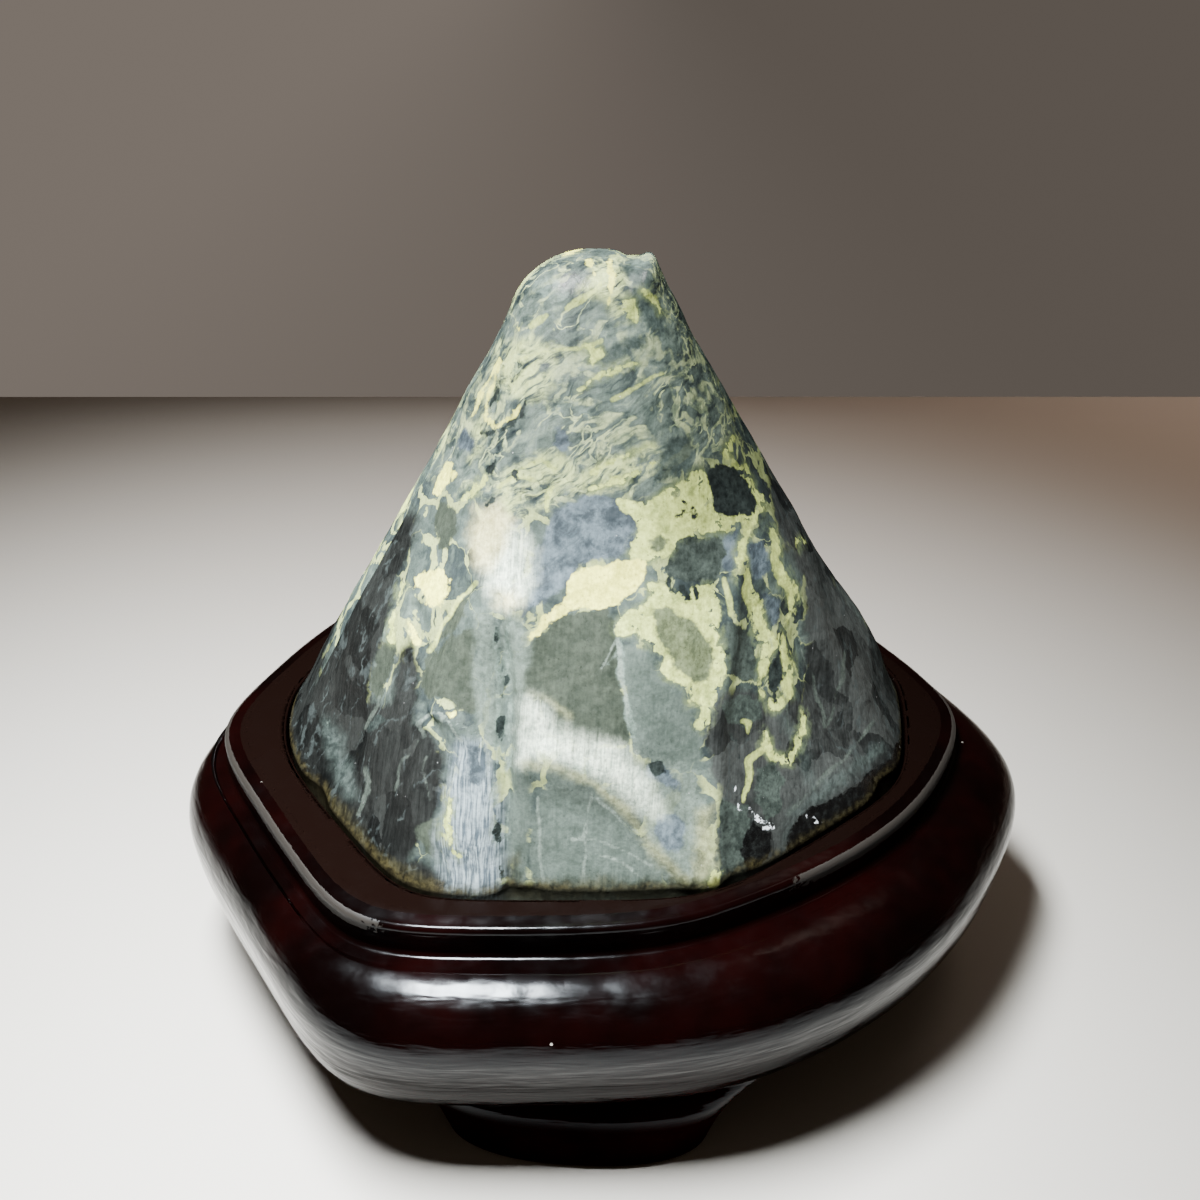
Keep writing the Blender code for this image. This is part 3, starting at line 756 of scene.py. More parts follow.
drawn = {
    # kinds that run on over the back's border
    "soft": ("slate", "fibre", "stain", "white", "feather", "sage", "haze", "blush", "butter"),
    "fade": 16,              # pixels that all other kinds draw back by at the back's border
    "strayEvery": 3.2 * mm,  # the lines stray, so that none runs evenly
    "strayMost": 4.0,
    "straySeed": 5,          # every run strays the same way
    "farthest": 60.0,
    "kept": 40.0,            # distances past this are cut short
}

backView = {             # the back takes the drawing turned and enlarged
    "middle": 98,        # direction, and degrees to its border on both sides
    "reach": 90,
    "border": 14,
    "turn": 24,
    "grow": 1.22,
    "pivot": (600, 600),
    "slip": (-22, 34),
}


def alongEdge(x, y, start, end):
    # how far along an edge each spot's nearest point lies, and the distance to it
    dx, dy = end[0] - start[0], end[1] - start[1]
    along = np.clip(((x - start[0]) * dx + (y - start[1]) * dy) / (dx * dx + dy * dy), 0, 1)
    return along, np.hypot(x - start[0] - along * dx, y - start[1] - along * dy)


def patchDistance(spots, outline):      # below zero inside the outline
    inside = np.zeros(len(spots), bool)
    nearest = np.full(len(spots), np.inf)
    x, y = spots.T
    for start, end in zip(outline, outline[1:] + outline[:1]):
        nearest = np.minimum(nearest, alongEdge(x, y, start, end)[1])
        if end[1] != start[1]:
            crossing = start[0] + (end[0] - start[0]) * (y - start[1]) / (end[1] - start[1])
            inside ^= ((start[1] > y) != (end[1] > y)) & (x < crossing)
    return np.where(inside, -nearest, nearest)


def strokeReach(spots, line):      # distance to the line and the half width beside it
    nearest = np.full(len(spots), np.inf)
    half = np.ones(len(spots))
    x, y = spots.T
    for start, end in zip(line, line[1:]):
        along, reach = alongEdge(x, y, start, end)
        width = start[2] + (end[2] - start[2]) * along
        closer = reach - width < nearest - half
        nearest = np.where(closer, reach, nearest)
        half = np.where(closer, width, half)
    return nearest, half


def drawnSpots(placed, azimuth):
    # each vertex's place on the drawing, and how near it is to the border between front and back
    world = placed + np.array(axisPlace)
    turn = math.radians(backView["turn"])
    turned = np.array(((math.cos(turn), -math.sin(turn)), (math.sin(turn), math.cos(turn))))
    back = (toView(world * (-1, -1, 1)) - backView["pivot"]) @ turned / backView["grow"]
    back += np.array(backView["pivot"]) + backView["slip"]
    fromBack = np.abs(turnBetween(azimuth, backView["middle"]))
    reach = math.radians(backView["reach"])
    border = np.abs(fromBack - reach) / math.radians(backView["border"])
    return np.where((fromBack < reach)[:, None], back, toView(world)), 1 - smooth(border)


def carveStone(placed, azimuth):
    spots, nearBorder = drawnSpots(placed, azimuth)
    raised = np.zeros(len(spots))
    for tall, line in carving.values():
        reach, half = strokeReach(spots, line)
        raised += tall * mm * bell(reach, half * carvedSlope)
    raised *= 1 - nearBorder
    placed[:, 0] += raised * np.cos(azimuth)
    placed[:, 1] += raised * np.sin(azimuth)


def drawOnStone(piece, placed, azimuth):
    spots, nearBorder = drawnSpots(placed, azimuth)
    noise.seed_set(drawn["straySeed"])
    strays = [noise.noise_vector(spot)[:2] for spot in (placed / drawn["strayEvery"]).tolist()]
    spots = spots + drawn["strayMost"] * np.array(strays)
    for kind in sorted({*patches, *strokes}):
        field = np.full(len(spots), drawn["farthest"])
        for outline in patches.get(kind, {}).values():
            field = np.minimum(field, patchDistance(spots, outline))
        for line in strokes.get(kind, {}).values():
            reach, half = strokeReach(spots, line)
            field = np.minimum(field, reach - half)
        if kind not in drawn["soft"]:
            field += drawn["fade"] * nearBorder
        addField(piece, kind, np.clip(field, -drawn["kept"], drawn["kept"]))


def makeStone():
    piece = ringTube("veinedStone", stone["rings"], stone["around"])
    placed, height, radius, azimuth = stonePoints(piece)
    shapeStone(placed, height, radius, azimuth)
    carveStone(placed, azimuth)
    writePoints(piece, placed)
    drawOnStone(piece, placed, azimuth)
    addField(piece, "rise", height / mm)
    return piece


# the finishes: each look holds its colours from dark to light, its noises (spacing in mm, detail,
# roughness and distortion), how these are stretched (turn in degrees, stretch, and the spacing and
# amount of a warp in mm), and the ranges over which its steps set in, with what they then give


class Nodes:      # a short way to write a node tree
    def __init__(self, name, look):
        self.material = bpy.data.materials.new(name)
        self.material.use_nodes = True
        self.tree = self.material.node_tree
        self.shader = self.tree.nodes["Principled BSDF"]
        self.place = self.add("ShaderNodeTexCoord").outputs["Object"]
        self.look = look
        self.colours = look["colours"]
        self.where = {key: self.stretch(*way) for key, way in look.get("stretches", {}).items()}
        self.tones = {key: self.noise(*spec, where=self.where.get(key))
                      for key, spec in look.get("noises", {}).items()}

    def add(self, kind, **settings):
        node = self.tree.nodes.new(kind)
        for key, value in settings.items():
            setattr(node, key, value)
        return node

    def put(self, socket, value):
        if isinstance(value, bpy.types.NodeSocket):
            self.tree.links.new(value, socket)
        else:
            socket.default_value = value

    def fill(self, node, **values):      # named sockets of a node
        for name, value in values.items():
            self.put(node.inputs[name], value)
        return node.outputs

    def surface(self, socket, value):
        self.put(self.shader.inputs[socket], value)

    def math(self, operation, first, second=0.0):
        node = self.add("ShaderNodeMath", operation=operation)
        self.put(node.inputs[0], first)
        self.put(node.inputs[1], second)
        return node.outputs[0]

    def plus(self, first, second):
        return self.math("ADD", first, second)

    def minus(self, first, second):
        return self.math("SUBTRACT", first, second)

    def times(self, first, second):
        return self.math("MULTIPLY", first, second)

    def warped(self, size, amount, where=None):      # places pushed about by soft noise
        where = where or self.place
        push = self.add("ShaderNodeVectorMath", operation="MULTIPLY_ADD")
        soft = self.fill(self.add("ShaderNodeTexNoise"), Vector=where, Scale=1 / (size * mm), Detail=3.0)
        for socket, value in zip(push.inputs, (soft["Color"], (amount * mm,) * 3, where)):
            self.put(socket, value)
        return push.outputs[0]

    def stretch(self, turn, scale, warp=None, where=None):      # longer features along the turned axes
        where = self.warped(*warp, where) if warp else where or self.place
        node = self.add("ShaderNodeMapping", vector_type="TEXTURE")
        angles = [math.radians(angle) for angle in turn]
        return self.fill(node, Vector=where, Rotation=angles, Scale=scale)[0]

    def noise(self, size, detail, rough, warp=0.0, where=None):
        node = self.add("ShaderNodeTexNoise")
        return self.fill(node, Vector=where or self.place, Scale=1 / (size * mm), Detail=detail,
                         Roughness=rough, Distortion=warp)["Fac"]

    def cells(self, size, feature="F1", output="Distance", where=None):
        node = self.add("ShaderNodeTexVoronoi", feature=feature)
        return self.fill(node, Vector=where or self.place, Scale=1 / (size * mm))[output]

    def ramp(self, value, low, high, to=(0.0, 1.0)):
        node = self.add("ShaderNodeMapRange", interpolation_type="SMOOTHSTEP")
        names = ("Value", "From Min", "From Max", "To Min", "To Max")
        for name, number in zip(names, (value, low, high, *to)):
            self.put(node.inputs[name], number)
        return node.outputs[0]

    def between(self, value, name):      # a ramp over one of the look's ranges
        return self.ramp(value, *self.look["ranges"][name])

    def mix(self, share, first, second, blend="MIX"):
        node = self.add("ShaderNodeMix", data_type="RGBA", blend_type=blend)
        self.put(node.inputs["Factor"], share)
        sockets = [socket for socket in node.inputs if socket.type == "RGBA"]
        for socket, value in zip(sockets, (first, second)):
            self.put(socket, value if isinstance(value, bpy.types.NodeSocket) else (*value, 1))
        return node.outputs[2]

    def steps(self, value, stops):      # a colour for each stretch of the value
        node = self.add("ShaderNodeValToRGB")
        ramp = node.color_ramp
        while len(ramp.elements) < len(stops):
            ramp.elements.new(1.0)
        for element, (position, colour) in zip(ramp.elements, stops):
            element.position = position
            element.color = (*colour, 1)
        return self.fill(node, Fac=value)["Color"]

    def blend(self, share, first, second):      # share is how much of the second number is taken
        node = self.add("ShaderNodeMix", data_type="FLOAT")
        for socket, value in zip((node.inputs[0], node.inputs[2], node.inputs[3]), (share, first, second)):
            self.put(socket, value)
        return node.outputs[0]

    def scaled(self, colour, factor):
        node = self.add("ShaderNodeVectorMath", operation="SCALE")
        self.put(node.inputs[0], colour)
        return self.fill(node, Scale=factor)[0]

    def field(self, name):
        return self.add("ShaderNodeAttribute", attribute_name=name).outputs["Fac"]

    def along(self, axis):
        split = self.add("ShaderNodeSeparateXYZ")
        return self.fill(split, Vector=self.place)[axis]

    def relief(self):      # bumps laid on each other: noise, depth in mm and strength
        normal = None
        for name, depth, strength in self.look["relief"]:
            node = self.add("ShaderNodeBump")
            self.fill(node, Height=self.tones[name], Distance=depth * mm, Strength=strength)
            if normal:
                self.put(node.inputs["Normal"], normal)
            normal = node.outputs[0]
        self.surface("Normal", normal)


stoneLook = {
    "colours": {
        "base": [         # each with its position on the scale
            (0.0, (0.016, 0.020, 0.020)), (0.35, (0.036, 0.045, 0.043)), (0.52, (0.066, 0.083, 0.069)),
            (0.72, (0.092, 0.114, 0.097)), (1.0, (0.180, 0.225, 0.165)),
        ],
        "upper": [
            (0.36, (0.014, 0.019, 0.021)), (0.44, (0.047, 0.059, 0.053)), (0.50, (0.095, 0.119, 0.096)),
            (0.56, (0.147, 0.177, 0.143)), (0.66, (0.260, 0.310, 0.210)),
        ],
        "vein": (0.340, 0.370, 0.150),
        "thread": ((0.200, 0.240, 0.140), (0.475, 0.512, 0.250)),
        "feather": (0.590, 0.640, 0.235),
        "fringe": (0.130, 0.155, 0.070),
        "slate": ((0.0063, 0.0066, 0.0062), (0.031, 0.032, 0.029)),
        "slateVein": (0.048, 0.056, 0.053),
        "olive": ((0.028, 0.034, 0.025), (0.057, 0.066, 0.047)),
        "facet": ((0.058, 0.073, 0.058), (0.104, 0.126, 0.104)),
        "sage": ((0.092, 0.112, 0.089), (0.175, 0.210, 0.168)),
        "lobe": ((0.072, 0.090, 0.104), (0.350, 0.405, 0.410)),
        "steel": ((0.046, 0.056, 0.062), (0.135, 0.165, 0.180)),
        "white": ((0.360, 0.430, 0.330), (0.850, 0.900, 0.690)),
        "blush": ((0.560, 0.490, 0.220), (0.820, 0.730, 0.360)),
        "butter": ((0.150, 0.152, 0.080), (0.320, 0.325, 0.165)),
        "moss": ((0.021, 0.026, 0.022), (0.062, 0.075, 0.062)),
        "haze": ((0.026, 0.035, 0.031), (0.072, 0.092, 0.080)),
        "veil": ((0.030, 0.038, 0.034), (0.085, 0.105, 0.092)),
        "pale": ((0.110, 0.145, 0.115), (0.220, 0.275, 0.225)),
        "cream": ((0.240, 0.275, 0.085), (0.620, 0.665, 0.185)),
        "bright": ((0.660, 0.620, 0.125), (0.960, 0.895, 0.190)),
        "scratch": ((0.130, 0.155, 0.130), (0.260, 0.300, 0.240)),
        "lens": ((0.036, 0.044, 0.034), (0.096, 0.112, 0.074)),
        "dark": ((0.012, 0.015, 0.014), (0.034, 0.042, 0.037)),
        "wet": ((0.004, 0.004, 0.004), (0.013, 0.014, 0.013)),
        "glint": (0.850, 0.850, 0.850),
        "stain": ((0.009, 0.0075, 0.004), (0.046, 0.040, 0.018)),
        # dirt at the joint with the stand, darkened further as painted shade
        "jointDirtAndShade": ((0.007, 0.0055, 0.003), (0.040, 0.032, 0.013)),
        "tint": (0.935, 1.03, 1.12),
        "sparkle": (0.600, 0.620, 0.650),
    },
    "noises": {
        "grain": (0.9, 3, 0.6),
        "dusting": (0.38, 2, 0.6),
        "blotch": (6.0, 4, 0.6, 0.6),
        "mottle": (2.4, 4, 0.62, 0.4),
        "silky": (0.26, 2, 0.5, 0.2),
        "upright": (0.45, 3, 0.6, 0.2),
        "hair": (0.8, 3, 0.6, 0.3),
        "slanted": (3.2, 4, 0.6, 0.8),
        "ragged": (3.0, 3, 0.55),
        "crisp": (0.8, 2, 0.6),
        "holes": (1.5, 3, 0.6, 0.4),
        "skin": (1.6, 3, 0.6),
    },
    "stretches": {
        "silky": ((-25, 3, 0), (1, 1, 26), (9, 1.2)),
        "upright": ((-25, 4, 0), (1, 1, 20), (9, 1.5)),
        "slanted": ((0, -32, 0), (2.2, 1.4, 1.0), (6.0, 5.0)),
        "hair": ((0, -32, 0), (4.5, 2, 1), (6.0, 4.0)),
    },
    "ranges": {
        "clast": (0.25, 0.75),
        "veinWidth": (0.42, 0.62, (0, 0.10)),
        "vein": (0.015, -0.01),
        "thread": (0.40, 0.56),
        "wideGaps": (0.36, 0.56),
        "fewer": (50, 62, (1, 0.55)),
        "narrowGaps": (0.46, 0.58),
        "feather": (0.40, 0.58, (0, 0.85)),
        "slate": (0.3, 0.7),
        "slateAcross": (-40 * mm, 20 * mm, (0.55, 1.8)),
        "seamGaps": (0.44, 0.6, (0, 0.6)),
        "white": (0.34, 0.62),
        "paleAndSheenGaps": (0.30, 0.50, (0.45, 1.0)),
        "fringe": (8, -1),
        "fringeGaps": (0.40, 0.6),
        "holes": (0.56, 0.68, (0, 9)),
        "creamEdge": (1.2, -1.2),
        "cream": (0.34, 0.58),
        "thin": (1.6, -0.6, (0, 0.7)),
        "scratch": (1.4, -0.6, (0, 0.6)),
        "scratchTone": (0.3, 0.7),
        "scratchOnSlate": (-2, 6, (0.4, 1)),
        "glint": (0.47, 0.52),
        "nearJoint": (1.5, 0.1, (0, 0.85)),
        "jointHeight": (-0.3, 0.7),
        "jointGrain": (0.35, 0.6),
        "fineShade": (0.3, 0.7, (0.82, 1.18)),
        "uprightShade": (0.3, 0.7, (0.90, 1.10)),
        "topShade": (33, 52, (1, 0.5)),
        "rightAcross": (-1 * mm, 12 * mm),
        "rightHeight": (28, 42, (0, 0.42)),
        "freckle": (0.34, 0.28),
        "freckleGaps": (0.40, 0.60, (0.1, 0.6)),
        "sparkle": (0.94, 0.97),
        "sparkleDot": (0.3, 0.2, (0, 0.35)),
        "satin": (0.35, 0.65, (0.34, 0.50)),
        "wetSatin": (-1, 1, (0.3, 1.0)),
        "dryShine": (0.75, 0.35, (0, 0.14)),
        "dryPlaces": (-1, 1),
    },
    "layers": {          # share of the second noise, both noises, their range, softness and cover
        "olive": (0.3, "mottle", "grain", 0.2, 0.8, 1.8, 1.0),
        "facet": (0.3, "mottle", "fine", 0.2, 0.8, 4, 1.0),
        "sage": (0.4, "mottle", "fine", 0.3, 0.7, 7, 0.9),
        "lobe": (0.35, "silky", "mottle", 0.38, 0.62, 12, 1.0),
        "steel": (0.25, "mottle", "hair", 0.38, 0.62, 2.5, 1.0),
        "blush": (0.4, "mottle", "fine", 0.36, 0.62, 11, 0.9),
        "butter": (0.4, "mottle", "fine", 0.34, 0.64, 7, 0.85),
        "moss": (0.4, "mottle", "fine", 0.34, 0.66, 1.2, 1.0),
        "haze": (0.4, "mottle", "fine", 0.36, 0.62, 4, 0.9),
        "veil": (0.4, "hair", "mottle", 0.38, 0.6, 9, 0.6),
        "pale": (0.0, "fine", "mottle", 0.3, 0.7, 1.6, 0.55),
        "bright": (0.3, "mottle", "fine", 0.34, 0.6, 1.2, 1.0),
        "lens": (0.4, "mottle", "fine", 0.36, 0.62, 2.5, 0.9),
        "dark": (0.5, "mottle", "fine", 0.36, 0.66, 1.2, 1.0),
        "wet": (0.0, "grain", "mottle", 0.45, 0.75, 1.2, 1.0),
        "stain": (0.6, "upright", "mottle", 0.40, 0.64, 6, 0.65),
    },
    "softness": {"fibre": 10, "feather": 7, "slate": 7, "white": 16, "glint": 0.8},
    "swings": {"ragged": 17.0, "crisp": 7.0},        # pixels that the drawing's edges stray by
    "thinSwing": 0.3,            # shares of that for what is finer
    "scratchSwing": 0.35,
    "jointSwing": 0.12,
    "clastSize": 6.0,
    "clastBends": ((1.6, 0.9), (5.0, 4.5)),          # warps: spacing and amount in mm
    "wideThread": (5.5, 0.038),      # spacing in mm and width
    "narrowThread": (2.4, 0.035),
    "seam": (5.0, 0.03),
    "seamStretch": ((0, 18, 0), (1, 1, 3)),
    "threadNoise": (2, 0.5, 0.6),    # detail, roughness and distortion
    "threadCore": 0.35,
    "freckle": 0.35,
    "sparkleSize": 0.42,
    "wetShine": 0.6,
    "glassiness": 1.5,
    "relief": (("upright", 0.08, 0.5), ("skin", 0.25, 0.5), ("dusting", 0.05, 0.5)),
}


class StoneNodes(Nodes):      # with the stone's own ways to lay a colour
    def __init__(self):
        super().__init__("veinedStone", stoneLook)
        self.tones["fine"] = self.blend(0.4, self.tones["grain"], self.tones["dusting"])
        self.swing = self.plus(*(self.times(self.minus(self.tones[name], 0.5), most)
                                 for name, most in stoneLook["swings"].items()))
        self.rise = self.field("rise")

    def swung(self, kind, share=1.0):      # the drawn distance with its edge broken up
        return self.plus(self.field(kind), self.times(self.swing, share) if share < 1 else self.swing)

    def cover(self, kind, softness, share=1.0):
        return self.ramp(self.swung(kind), softness, -softness, (0, share))

    def softCover(self, kind):
        return self.cover(kind, stoneLook["softness"][kind])

    def thread(self, size, width, where):      # thin lines that follow the middle values of a soft noise
        soft = self.noise(size, *stoneLook["threadNoise"], where)
        apart = self.math("ABSOLUTE", self.minus(soft, 0.5))
        return self.ramp(apart, width, width * stoneLook["threadCore"])

    def layers(self, colour, *kinds):
        for kind in kinds:
            share, first, second, low, high, softness, most = stoneLook["layers"][kind]
            tone = self.ramp(self.blend(share, self.tones[first], self.tones[second]), low, high)
            colour = self.mix(self.cover(kind, softness, most), colour, self.mix(tone, *self.colours[kind]))
        return colour


def stoneGround(m):      # broken clasts with veins between them, threads above and slate at the sides
    mottle, blotch, hair = (m.tones[name] for name in ("mottle", "blotch", "hair"))
    bent = None
    for bend in stoneLook["clastBends"]:
        bent = m.warped(*bend, bent)
    clastTone = m.cells(stoneLook["clastSize"], output="Color", where=bent)
    clastEdge = m.cells(stoneLook["clastSize"], feature="DISTANCE_TO_EDGE", where=bent)
    colour = m.steps(m.blend(0.45, clastTone, m.between(mottle, "clast")), m.colours["base"])
    vein = m.between(m.minus(clastEdge, m.between(blotch, "veinWidth")), "vein")
    colour = m.mix(vein, colour, m.colours["vein"])

    upper = m.steps(m.blend(0.5, m.tones["slanted"], m.blend(0.25, hair, mottle)), m.colours["upper"])
    threads = m.mix(m.between(m.blend(0.3, hair, mottle), "thread"), *m.colours["thread"])
    wide = m.times(m.thread(*stoneLook["wideThread"], m.where["slanted"]), m.between(mottle, "wideGaps"))
    upper = m.mix(m.times(wide, m.between(m.rise, "fewer")), upper, threads)
    narrow = m.thread(*stoneLook["narrowThread"], m.where["slanted"])
    upper = m.mix(m.times(narrow, m.between(blotch, "narrowGaps")), upper, threads)
    colour = m.mix(m.softCover("fibre"), colour, upper)
    feather = m.times(m.softCover("feather"), m.between(m.blend(0.25, hair, mottle), "feather"))
    colour = m.mix(feather, colour, m.colours["feather"])

    slateTone = m.blend(0.3, m.blend(0.5, clastTone, mottle), m.tones["upright"])
    slate = m.mix(m.between(slateTone, "slate"), *m.colours["slate"])
    slate = m.scaled(slate, m.between(m.along("X"), "slateAcross"))
    seams = m.stretch(*stoneLook["seamStretch"], where=bent)
    seam = m.times(m.thread(*stoneLook["seam"], seams), m.between(mottle, "seamGaps"))
    return m.mix(m.softCover("slate"), colour, m.mix(seam, slate, m.colours["slateVein"]))


def stoneDrawing(m, colour):      # the drawn patches and strokes, one kind over the other
    grain, mottle, fine, upright = (m.tones[name] for name in ("grain", "mottle", "fine", "upright"))
    colour = m.layers(colour, "olive", "facet", "sage", "lobe", "steel")
    # painted sheen on pale stone, on the shoulder and along the band
    sheenCover = m.times(m.softCover("white"), m.between(m.blend(0.5, upright, mottle), "paleAndSheenGaps"))
    white = m.mix(m.between(m.blend(0.5, fine, m.tones["silky"]), "white"), *m.colours["white"])
    colour = m.mix(sheenCover, colour, white)
    colour = m.layers(colour, "blush", "butter", "moss", "haze", "veil", "pale")

    fringe = m.times(m.between(m.swung("cream"), "fringe"), m.between(mottle, "fringeGaps"))
    colour = m.mix(fringe, colour, m.colours["fringe"])
    eaten = m.plus(m.swung("cream"), m.between(m.tones["holes"], "holes"))
    creamTone = m.blend(0.25, m.blend(0.5, m.tones["blotch"], mottle), fine)
    cream = m.mix(m.between(creamTone, "cream"), *m.colours["cream"])
    colour = m.mix(m.between(eaten, "creamEdge"), colour, cream)
    # the lit copy of the cream: painted light
    colour = m.layers(colour, "bright")
    colour = m.mix(m.between(m.swung("thin", stoneLook["thinSwing"]), "thin"), colour, cream)

    scratch = m.between(m.swung("scratch", stoneLook["scratchSwing"]), "scratch")
    lit = m.mix(m.between(fine, "scratchTone"), *m.colours["scratch"])
    colour = m.mix(scratch, colour, m.scaled(lit, m.between(m.field("slate"), "scratchOnSlate")))
    colour = m.layers(colour, "lens", "dark", "wet")
    # painted glints
    glint = m.times(m.softCover("glint"), m.between(grain, "glint"))
    colour = m.layers(m.mix(glint, colour, m.colours["glint"]), "stain")
    # dirt and painted shade along the joint with the stand, darker towards the bottom
    nearJoint = m.plus(m.rise, m.times(m.swing, stoneLook["jointSwing"]))
    jointTone = m.times(m.between(m.rise, "jointHeight"), m.between(grain, "jointGrain"))
    return m.mix(m.between(nearJoint, "nearJoint"), colour, m.mix(jointTone, *m.colours["jointDirtAndShade"]))


def stoneShading(m, colour):      # uneven lightness over everything, painted shade towards the top, the upper right darker, freckles and painted sparkle
    colour = m.scaled(colour, m.between(m.tones["fine"], "fineShade"))
    colour = m.scaled(colour, m.between(m.tones["upright"], "uprightShade"))
    # painted shade: the stone darker towards its top, against the stronger light it gets there
    colour = m.scaled(colour, m.between(m.rise, "topShade"))
    topRight = m.times(m.between(m.along("X"), "rightAcross"), m.between(m.rise, "rightHeight"))
    colour = m.scaled(colour, m.minus(1.0, topRight))
    colour = m.mix(1.0, colour, m.colours["tint"], "MULTIPLY")
    freckle = m.times(m.between(m.tones["dusting"], "freckle"), m.between(m.tones["blotch"], "freckleGaps"))
    colour = m.mix(freckle, colour, m.scaled(colour, stoneLook["freckle"]))
    # painted sparkle: pale dots that stand in for glints of light
    sparkling = m.between(m.cells(stoneLook["sparkleSize"], output="Color"), "sparkle")
    dot = m.between(m.cells(stoneLook["sparkleSize"]), "sparkleDot")
    return m.mix(m.times(sparkling, dot), colour, m.colours["sparkle"])


def stoneMaterial():
    m = StoneNodes()
    m.surface("Base Color", stoneShading(m, stoneDrawing(m, stoneGround(m))))
    satin = m.between(m.blend(0.4, m.tones["grain"], m.tones["blotch"]), "satin")
    m.surface("Roughness", m.times(satin, m.between(m.field("wet"), "wetSatin")))
    dry = m.between(m.add("ShaderNodeLayerWeight").outputs["Facing"], "dryShine")
    shine = m.blend(m.between(m.field("wet"), "dryPlaces"), stoneLook["wetShine"], dry)
    m.surface("Specular IOR Level", shine)
    m.surface("IOR", stoneLook["glassiness"])
    m.relief()
    return m.material


lacquerLook = {
    "colours": {
        "ground": ((0.0008, 0.0002, 0.0002), (0.0034, 0.0004, 0.0004)),
        # the lip's colour is partly a painted reflection of the stone
        "lip": (0.0030, 0.0014, 0.0011),
        # worn edges, painted lighter as a reflection of the table
        "wornAndSheen": (0.0190, 0.0170, 0.0155),
        "dust": (0.30, 0.29, 0.27),
        "shine": (0.80, 0.90, 1.0, 1.0),
    },
    "noises": {
        "cloud": (18, 3, 0.6),
        "chips": (0.8, 3, 0.6),
        "brush": (1.8, 3, 0.55, 0.2),
        "dusty": (9, 1, 0.5),
        "wave": (7, 2, 0.5),
        "strokes": (1.1, 2, 0.5, 0.3),
    },
    "stretches": {"brush": ((0, 0, 0), (2, 2, 1)), "strokes": ((0, 0, 0), (9, 4, 1))},
    "ranges": {
        "cloud": (0.35, 0.7),
        "lip": (0.35, 0.65),
        "wornAndSheen": (0.45, 0.6),
        "dust": (0.034, 0.024),
        "dusty": (0.48, 0.56),
        "gloss": (0.3, 0.8, (0.13, 0.25)),
        "under": (0, 1, (1, 0.35)),
        "polish": (0, 1, (0.20, 0.0)),
    },
    "rougher": {"lip": 0.08, "wornAndSheen": 0.30, "dust": 0.4},
    "chips": 1.5,                # how far the worn edges' border strays
    "dustSize": 6.5,
    "lipDull": 0.74,
    "glassiness": 1.5,
    "relief": (("wave", 0.4, 0.4), ("strokes", 0.22, 0.5), ("brush", 0.08, 0.4)),
}


def lacquerMaterial():
    m = Nodes("darkRedLacquer", lacquerLook)
    colour = m.mix(m.between(m.tones["cloud"], "cloud"), *m.colours["ground"])
    rough = m.times(m.between(m.tones["brush"], "gloss"), m.between(m.field("under"), "under"))
    chips = m.times(m.minus(m.tones["chips"], 0.5), lacquerLook["chips"])
    shares = {name: m.between(m.plus(m.field(name), chips), name) for name in ("lip", "wornAndSheen")}
    specks = m.between(m.cells(lacquerLook["dustSize"]), "dust")
    shares["dust"] = m.times(specks, m.between(m.tones["dusty"], "dusty"))
    for name, share in shares.items():
        colour = m.mix(share, colour, m.colours[name])
        rough = m.plus(rough, m.times(share, lacquerLook["rougher"][name]))
    m.surface("Base Color", colour)
    m.surface("Roughness", rough)
    dull = m.math("MAXIMUM", m.field("lower"), m.times(shares["lip"], lacquerLook["lipDull"]))
    m.surface("Specular IOR Level", m.between(dull, "polish"))
    m.surface("Specular Tint", m.colours["shine"])
    m.surface("IOR", lacquerLook["glassiness"])
    m.relief()
    return m.material


# putting the object together

lacquer = lacquerMaterial()
body = makeStand()
body.data.materials.append(lacquer)
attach(body, "root")
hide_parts("stand")
print("stand carved", len(body.data.polygons))

for number, direction in enumerate(feet["directions"], 1):
    foot = makeFoot(number, direction)
    foot.data.materials.append(lacquer)
    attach(foot, "root")
    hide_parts("stand")
print("feet under the stand")

rock = makeStone()
rock.data.materials.append(stoneMaterial())
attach(rock, "root")
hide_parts("stone")
print("stone in its seat", len(rock.data.polygons))

# the table and the light

studio = {
    "table": {
        "half": 1.2,
        "far": 0.20,
        "round": 0.12,
        "cuts": 60,
        # the table turns warmer towards the back: painted warm light
        "colours": {"near": ((0.575, 0.57, 0.545), (0.60, 0.595, 0.575)), "far": (0.60, 0.555, 0.515)},
        "noises": {"cloud": (140, 3, 0.5)},
        "ranges": {"cloud": (0.3, 0.7), "far": (0.0, 0.2)},
        "rough": 0.55,
    },
    "ground": {          # the room's floor below the table, which glows as much as it would be lit
        "half": 40.0,
        "cuts": 2,
        "below": 0.7,
        "colours": {"floor": (0.05, 0.045, 0.04, 1), "glow": (0.150, 0.128, 0.110)},
        "ranges": {"across": (-1.4, 1.0, (1.3, 0.72))},
        "rough": 1.0,
        "glow": 1.0,
    },
    "lamp": {"place": (-0.050, -0.058, 0.27), "size": (0.045, 0.10), "power": 1.47, "spread": 96,
             "colour": (1.0, 0.995, 0.96)},
    "room": {"place": (0.0, -0.2, 2.4), "size": (2.0, 2.0), "power": 1.0, "spread": 180,
             "colour": (1.0, 0.84, 0.70)},
    "back": {"place": (0.34, 0.30, 0.6), "size": (0.3, 0.3), "power": 0.35, "spread": 70,
             "colour": (1.0, 0.76, 0.60)},
    "air": (0.043, 0.031, 0.021, 1),
}


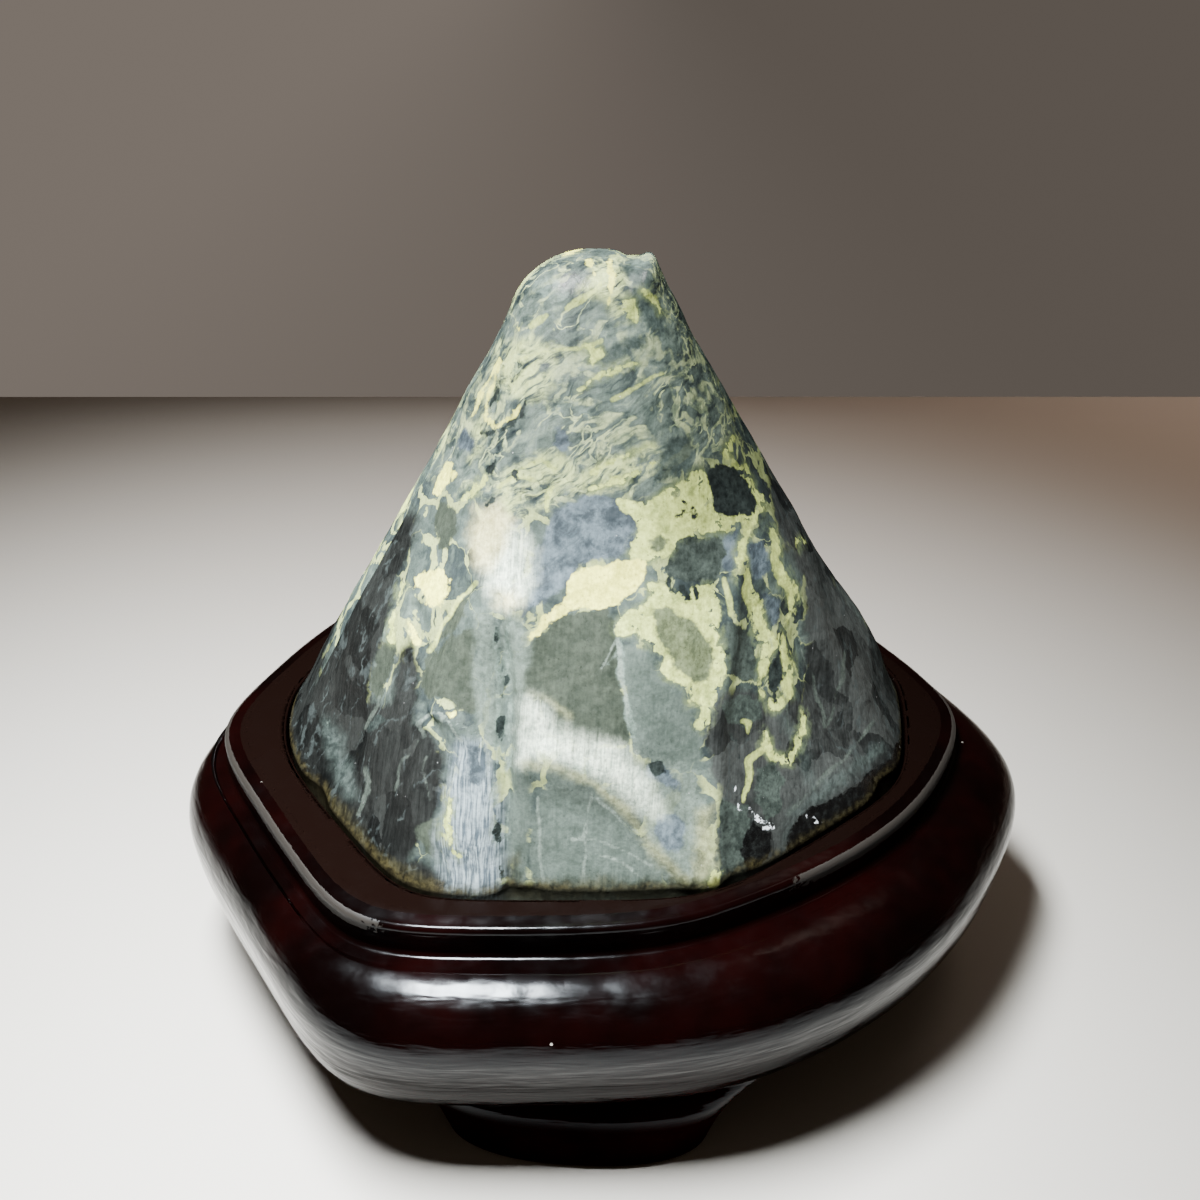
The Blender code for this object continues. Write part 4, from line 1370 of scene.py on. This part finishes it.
def makePlane(name, spec):
    grid = bmesh.new()
    bmesh.ops.create_grid(grid, x_segments=2, y_segments=spec["cuts"], size=spec["half"])
    mesh = bpy.data.meshes.new(name)
    grid.to_mesh(mesh)
    grid.free()
    plane = bpy.data.objects.new(name, mesh)
    bpy.context.scene.collection.objects.link(plane)
    return plane


def makeTable():      # flat as far as its far edge, which rounds away and down
    spec = studio["table"]
    m = Nodes("paleTable", spec)
    near = m.mix(m.between(m.tones["cloud"], "cloud"), *m.colours["near"])
    # painted warm light towards the back
    m.surface("Base Color", m.mix(m.between(m.along("Y"), "far"), near, m.colours["far"]))
    m.surface("Roughness", spec["rough"])
    table = makePlane("paleTable", spec)
    table.data.materials.append(m.material)
    for vertex in table.data.vertices:
        run = (vertex.co.y + spec["half"]) / (2 * spec["half"])
        turn = math.radians(90 * max(0.0, 2 * run - 1))
        flat = min(1.0, 2 * run)
        vertex.co.y = -spec["half"] + flat * (spec["half"] + spec["far"]) + spec["round"] * math.sin(turn)
        vertex.co.z = -spec["round"] * (1 - math.cos(turn))
    table.data.shade_smooth()


def makeGround():
    spec = studio["ground"]
    m = Nodes("dimFloor", spec)
    m.surface("Base Color", m.colours["floor"])
    m.surface("Roughness", spec["rough"])
    m.surface("Emission Color", m.scaled(m.colours["glow"], m.between(m.along("X"), "across")))
    m.surface("Emission Strength", spec["glow"])
    ground = makePlane("dimFloor", spec)
    ground.data.materials.append(m.material)
    ground.location.z = -spec["below"]


def makeLight(name):
    spec = studio[name]
    data = bpy.data.lights.new(name, "AREA")
    data.shape = "RECTANGLE"
    data.size, data.size_y = spec["size"]
    data.energy = spec["power"]
    data.spread = math.radians(spec["spread"])
    data.color = spec["colour"]
    light = bpy.data.objects.new(name, data)
    light.location = spec["place"]
    bpy.context.scene.collection.objects.link(light)


makeTable()
makeGround()
for lightName in ("lamp", "room", "back"):
    makeLight(lightName)
world = bpy.data.worlds.new("dimRoom")
world.use_nodes = True
world.node_tree.nodes["Background"].inputs["Color"].default_value = studio["air"]
bpy.context.scene.world = world
print("table and lights set")
